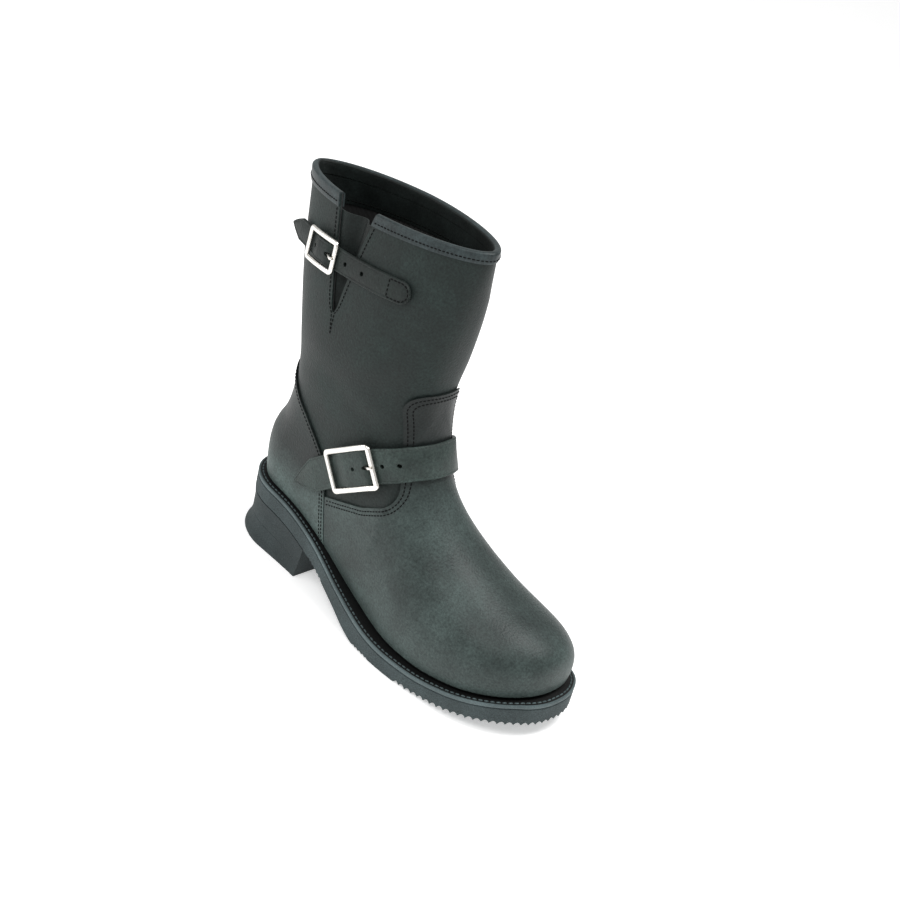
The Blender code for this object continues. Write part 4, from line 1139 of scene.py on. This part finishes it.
class BOOT_OT_sole(bpy.types.Operator):
    """Make the welt with its stitches, the toothed outsole and the heel block"""

    bl_idname = "boot.sole"
    bl_label = "Welt, sole and heel"

    def execute(self, context):
        sizes = context.scene.boot_sizes
        phi = even_angles(420)[0]
        inner, outer = feather_outline(phi, -WELT_INSET), sole_outline(phi)
        shoulder, lip = sole_outline(phi, -0.0016), sole_outline(phi, -0.0005)
        top, bottom = GAP, GAP + WELT
        sections = [at_height(shoulder, top), at_height(shoulder, bottom),
                    at_height(inner, bottom), at_height(inner, top)]
        # Top face in the near-black welt colour: painted shade under the upper
        welt = band_solid("welt_top", np.stack(sections, 1), material_of("welt_top_painted_shade"), True, 30)
        keep(welt, "welt_rubber", "welt")
        sections = [at_height(shoulder, top + 0.0001), at_height(lip, top), at_height(outer, top + 0.0006),
                    at_height(outer, bottom - 0.0006), at_height(lip, bottom),
                    at_height(shoulder, bottom - 0.0001)]
        # Edge band in the pale rubber: painted highlight on the welt's rounded edge
        edge = band_solid("welt_edge", np.stack(sections, 1), material_of("welt_edge_painted_highlight"), True, 50)
        keep(edge, "welt_rubber")
        thread = Thread(sizes.welt_thread)
        line = at_height(sole_outline(phi, -0.0034), top)
        line = np.vstack([line, line[:1]])
        thread.sew(line, np.broadcast_to([0.0, 0.0, 1.0], line.shape), sizes.welt_pitch)
        keep(thread.make("welt_thread", material_of("welt_waxed_thread")), "welt_rubber")

        phi, places = even_angles(1240)
        top = GAP + WELT + GAP
        teeth = tooth_heights(phi, places)
        mirrored = (phi + 2 * math.pi - np.roll(phi[::-1], 1)) / 2
        mirrored[0] = 0
        seat, tread = feather_outline(mirrored, -WELT_INSET), sole_outline(mirrored, -0.0065)
        rim, lip = sole_outline(phi), sole_outline(phi, -0.0006)
        upper_edge, lower_edge = at_height(rim, top + 0.0006), over_tread(rim, 0.0035)
        rings = [at_height(seat, top), at_height(lip, top), upper_edge]
        rings += [upper_edge + (lower_edge - upper_edge) * share for share in (0.25, 0.5, 0.75)]
        rings += [lower_edge, over_tread(rim, 0.0005 + teeth), over_tread(lip, teeth), over_tread(tread, 0)]
        plate = ring_solid("outsole_rubber", rings, material_of("sole_moulded_rubber"), 28)
        keep(plate, "sole_rubber", "outsole")
        self.make_heel()
        return {"FINISHED"}

    def make_heel(self):
        """Block drawn in above and flared at the ground, with a fine groove half way up."""
        fine = np.linspace(0, math.pi, 721)
        groove = [0.455, 0.450, 0.445]
        shares = np.concatenate([np.linspace(1, 0.48, 10), groove, np.linspace(0.42, 0.02, 14), [0.0]])
        rings = []
        for share in shares:
            reach = curve_at(np.array([share]), HEEL_LEVELS)[0, 0]
            if share in (groove[1], 0.0):
                reach -= 0.0004
            breast = HEEL_LENGTH - BREAST_SLANT * (1 - share) + BACK_X
            ends = [np.interp(breast, sole_outline(side * fine)[:, 0], fine) for side in (1, -1)]
            sides = [np.linspace(0, ends[0], 90), 2 * math.pi - np.linspace(ends[1], 0, 90)[:-1]]
            phi = np.concatenate(sides)
            ahead = np.clip((sole_outline(phi)[:, 0] - BACK_X - 0.03) / 0.045, 0, 1)
            plan = sole_outline(phi, reach * (1 - 0.9 * ahead))
            plan[:, 0] = np.minimum(plan[:, 0], breast)
            ring = over_tread(plan, -GAP)
            ring[:, 2] *= share
            rings.append(ring)
        block = ring_solid("heel_rubber", rings, material_of("heel_painted_shade_rubber"), 32)
        keep(block, "heel_rubber", "heel_block")


def strap_solid(name, path, buckle, groove, material):
    """Strap with rounded edges, a groove along each edge, and its holes."""
    strap = path.strap
    even = np.linspace(0, path.length, round(path.length / 0.0012))
    tip = np.linspace(0, 1, 16) ** 2 * strap.point
    round_end = path.length - strap.width / 2 * np.linspace(0, 1, 20) ** 2
    at = np.unique(np.concatenate([even, tip, round_end if strap.rounded else []]))
    half = strap_half_width(at, strap, path.length)
    low = strap_rise(at, buckle)
    high = low + strap.thick
    soft = np.minimum(0.0006, half * 0.3)
    line = np.minimum(groove, half * 0.5)
    cut = np.minimum(0.0004, half * 0.12)
    right = [(half - soft, low), (half, low + soft), (half, high - soft), (half - soft, high),
             (half - line + cut, high), (half - line, high - 0.00025), (half - line - cut, high)]
    corners = right + [(-side, off) for side, off in reversed(right)]
    sections = np.stack([path.place(np.stack([at, side, off], -1)) for side, off in corners], 1)
    made = band_solid(name, sections, material, False, 60)
    slot = buckle.at + buckle.hole
    centres = [(slot, SLOT)] + [(slot + (i + 1) * buckle.pitch, HOLE) for i in range(buckle.holes - 1)]
    centres.append((slot - buckle.pitch, HOLE))
    for place, reach in centres:
        turn = np.linspace(0, 2 * math.pi, 24, endpoint=False)
        rim = np.stack([place + reach * np.cos(turn), HOLE * np.sin(turn)], -1)
        rings = [path.place(np.column_stack([rim, np.full(len(rim), off)])) for off in (-0.003, 0.012)]
        apply_boolean(made, ring_solid("punch", rings, material), "DIFFERENCE")
    made.data.shade_smooth()
    made.data.set_sharp_from_angle(angle=math.radians(50))
    return made


def buckle_solid(name, path, buckle, material):
    """Square flat-faced frame over the strap, with a centre bar that dips under it."""
    height = STRAP_UNDER + path.strap.thick + GAP + buckle.bar
    length, width, corner = buckle.length / 2, buckle.width / 2, BUCKLE_CORNER
    centres = []
    for k, (sign_a, sign_b) in enumerate(((1, 1), (-1, 1), (-1, -1), (1, -1))):
        middle = (buckle.at + sign_a * (length - corner), sign_b * (width - corner))
        for step in range(9):
            angle = (k + step / 8) * math.pi / 2
            ahead, aside = corner * math.cos(angle), corner * math.sin(angle)
            centres.append((middle[0] + ahead, middle[1] + aside, height))
        far = 2 * (length - corner) if k in (0, 2) else 2 * (width - corner)
        for share in np.linspace(0, 1, 14)[1:-1]:
            if k in (0, 2):
                centres.append((middle[0] - sign_a * share * far, sign_b * width, height))
            else:
                centres.append((buckle.at + sign_a * length, middle[1] - sign_b * share * far, height))
    made = tube(name, path, centres, 1.22 * buckle.bar, 0.88 * buckle.bar, (0, 0, 1), True, material)
    bar = [(-width, height), (-width, CENTRE_BAR + BAR_BEND), (-width + BAR_BEND, CENTRE_BAR),
           (width - BAR_BEND, CENTRE_BAR), (width, CENTRE_BAR + BAR_BEND), (width, height)]
    bar = [(buckle.at, t, h) for t, h in bar]
    across = tube("bar", path, bar, CENTRE_BAR, CENTRE_BAR, (1, 0, 0), False, material)
    apply_boolean(made, across, "UNION")
    made.data.shade_smooth()
    made.data.set_sharp_from_angle(angle=math.radians(50))
    return made


def prong_solid(name, path, buckle, material):
    """Pin from the centre bar, up through the strap's hole and onto the front bar of the frame."""
    height = STRAP_UNDER + path.strap.thick + GAP + buckle.bar
    rest = height + buckle.bar + GAP + PRONG * 0.8
    under = 2 * CENTRE_BAR - PRONG
    start = CENTRE_BAR + GAP + 0.0003
    profile = [(start, under, 1.0), (buckle.hole - 0.0030, under, 1.0),
               (buckle.hole - 0.0008, under + 0.0016, 1.0),
               (buckle.length / 2 - 0.0012, rest - 0.0002, 0.95), (buckle.length / 2 + 0.0004, rest, 0.8),
               (buckle.length / 2 + 0.0016, rest - 0.0001, 0.5)]
    fine = spline_rows(np.linspace(0, len(profile) - 1, 26), profile)
    centres = [(buckle.at + s, 0, h) for s, h, _ in fine]
    radius = PRONG * fine[:, 2]
    return tube(name, path, centres, radius, radius, (0, 1, 0), False, material)


class BOOT_OT_straps(bpy.types.Operator):
    """Make both straps with their buckles and prongs, and sew the shaft strap's end"""

    bl_idname = "boot.straps"
    bl_label = "Straps and buckles"

    def execute(self, context):
        sizes = context.scene.boot_sizes
        nickel = material_of("buckle_plated_nickel")
        paths = {}
        sets = (("instep", INSTEP_STRAP, INSTEP_BUCKLE), ("shaft", SHAFT_STRAP, SHAFT_BUCKLE))
        for name, strap, buckle in sets:
            path = paths[name] = StrapPath(strap)
            leather = material_of(name + "_strap_waxed_leather")
            band = strap_solid(name + "_strap_leather", path, buckle, sizes.edge_groove, leather)
            keep(band, "strap_leather", name + "_strap")
            keep(buckle_solid(name + "_buckle_frame", path, buckle, nickel), "nickel", name + "_buckle")
            keep(prong_solid(name + "_buckle_prong", path, buckle, nickel), "nickel", name + "_prong")
        path = paths["shaft"]
        half = SHAFT_STRAP.width / 2 - 0.0017
        centre = path.length - SHAFT_STRAP.width / 2
        turn = np.linspace(math.pi / 2, -math.pi / 2, 24)
        arc = [(centre + half * math.cos(a), half * math.sin(a)) for a in turn]
        start = centre - 0.0095
        loop = np.array([(start, half)] + arc + [(start, -half), (start, half)])
        high = STRAP_UNDER + SHAFT_STRAP.thick
        line = path.place(np.column_stack([loop, np.full(len(loop), high)]))
        out = (path.place(np.column_stack([loop, np.full(len(loop), high + 0.001)])) - line) / 0.001
        thread = Thread(sizes.thread)
        for part in (slice(0, len(arc) + 2), slice(len(arc) + 1, None)):
            thread.sew(line[part], out[part], sizes.stitch_pitch)
        path = paths["instep"]
        far, near = path.length - 0.0025, path.length - 0.0200
        half = INSTEP_STRAP.width / 2 - 0.0022
        box = np.array([(near, -half), (near, half), (far, half), (far, -half), (near, -half)])
        high = STRAP_UNDER + INSTEP_STRAP.thick
        for first, second in zip(box, box[1:]):
            side = first + np.linspace(0, 1, 12)[:, None] * (second - first)
            line = path.place(np.column_stack([side, np.full(12, high)]))
            out = (path.place(np.column_stack([side, np.full(12, high + 0.001)])) - line) / 0.001
            thread.sew(line, out, sizes.stitch_pitch)
        keep(thread.make("strap_thread", material_of("seam_waxed_thread")), "strap_leather")
        return {"FINISHED"}


class BOOT_OT_stage(bpy.types.Operator):
    """Lay the floor and set lights and camera"""

    bl_idname = "boot.stage"
    bl_label = "Stage"

    def execute(self, context):
        scene = context.scene
        # Opal acrylic, cast and lit from below: white to its edges, with a soft shadow where the boot stands
        material, tree, shader, place = start_material("floor_backlit_opal_acrylic", 0.9,
                                                       Emission_Strength=0.4)
        cloud = add_node(tree, "TexNoise", {"Vector": place, "Scale": 2.0})
        shade = add_node(tree, "MapRange", {"Value": cloud.outputs["Fac"], "To Min": 0.90, "To Max": 0.94})
        tree.links.new(shade.outputs["Result"], shader.inputs["Base Color"])
        mesh = bpy.data.meshes.new("floor")
        mesh.from_pydata([(-4, -4, 0), (4, -4, 0), (4, 4, 0), (-4, 4, 0)], [], [(0, 1, 2, 3)])
        mesh.materials.append(material)
        floor = bpy.data.objects.new("floor", mesh)
        scene.collection.objects.link(floor)
        world = bpy.data.worlds.new("studio")
        world.use_nodes = True
        world.node_tree.nodes["Background"].inputs["Color"].default_value = (1, 1, 1, 1)
        world.node_tree.nodes["Background"].inputs["Strength"].default_value = 0.56
        scene.world = world
        scene.view_settings.view_transform = "Standard"
        for name, place, size, power in (
            ("top", (0.45, 0.25, 1.5), 0.6, 16),
            ("front", (0.15, -0.80, 1.3), 0.5, 6),
            ("left", (-1.2, -1.3, 0.6), 0.8, 8),
        ):
            light = bpy.data.lights.new(name, "AREA")
            light.size = size
            light.energy = power
            lamp = bpy.data.objects.new(name, light)
            lamp.location = place
            aim = Vector((0.02, 0, 0.12)) - Vector(place)
            lamp.rotation_euler = aim.to_track_quat("-Z", "Y").to_euler()
            scene.collection.objects.link(lamp)
        self.add_camera(scene)
        return {"FINISHED"}

    def add_camera(self, scene):
        """Camera at the photograph's angle, rolled as the photograph leans the boot."""
        azimuth, elevation, roll = (math.radians(a) for a in (40.64, 31.95, 14.17))
        distance = 1.13286
        aim = Vector((-0.0015, -0.0095, 0.1187))
        level = math.cos(elevation)
        back = Vector((math.sin(azimuth) * level, -math.cos(azimuth) * level, math.sin(elevation)))
        right = Vector((math.cos(azimuth), math.sin(azimuth), 0))
        up = back.cross(right)
        across = right * math.cos(roll) + up * math.sin(roll)
        upward = up * math.cos(roll) - right * math.sin(roll)
        camera = bpy.data.cameras.new("photo")
        camera.lens = 63.89
        camera.sensor_width = 36
        camera.shift_x, camera.shift_y = 0.0419, 0.0334
        holder = bpy.data.objects.new("photo", camera)
        scene.collection.objects.link(holder)
        matrix = Matrix((across, upward, back)).transposed().to_4x4()
        matrix.translation = aim + back * distance
        holder.matrix_world = matrix
        scene.camera = holder


class BOOT_PT_boot(bpy.types.Panel):
    """Lists the boot's pieces, sizes and colours"""

    bl_label = "Engineer boot"
    bl_idname = "BOOT_PT_boot"
    bl_space_type = "VIEW_3D"
    bl_region_type = "UI"
    bl_category = "Boot"

    def draw(self, context):
        for group in (context.scene.boot_sizes, context.scene.boot_colours):
            column = self.layout.column(align=True)
            for name in group.__annotations__:
                column.prop(group, name)
        for operator in OPERATORS:
            self.layout.operator(operator.bl_idname)


OPERATORS = [BOOT_OT_finishes, BOOT_OT_shaft, BOOT_OT_overlays, BOOT_OT_seams, BOOT_OT_collar, BOOT_OT_sole,
             BOOT_OT_straps, BOOT_OT_stage]
CLASSES = [BootSizes, BootColours] + OPERATORS + [BOOT_PT_boot]


def register():
    for cls in CLASSES:
        bpy.utils.register_class(cls)
    bpy.types.Scene.boot_sizes = PointerProperty(type=BootSizes)
    bpy.types.Scene.boot_colours = PointerProperty(type=BootColours)


def unregister():
    del bpy.types.Scene.boot_sizes
    del bpy.types.Scene.boot_colours
    for cls in reversed(CLASSES):
        bpy.utils.unregister_class(cls)


def main():
    register()
    for operator in OPERATORS:
        group, name = operator.bl_idname.split(".")
        getattr(getattr(bpy.ops, group), name)()


if __name__ == "__main__":
    main()
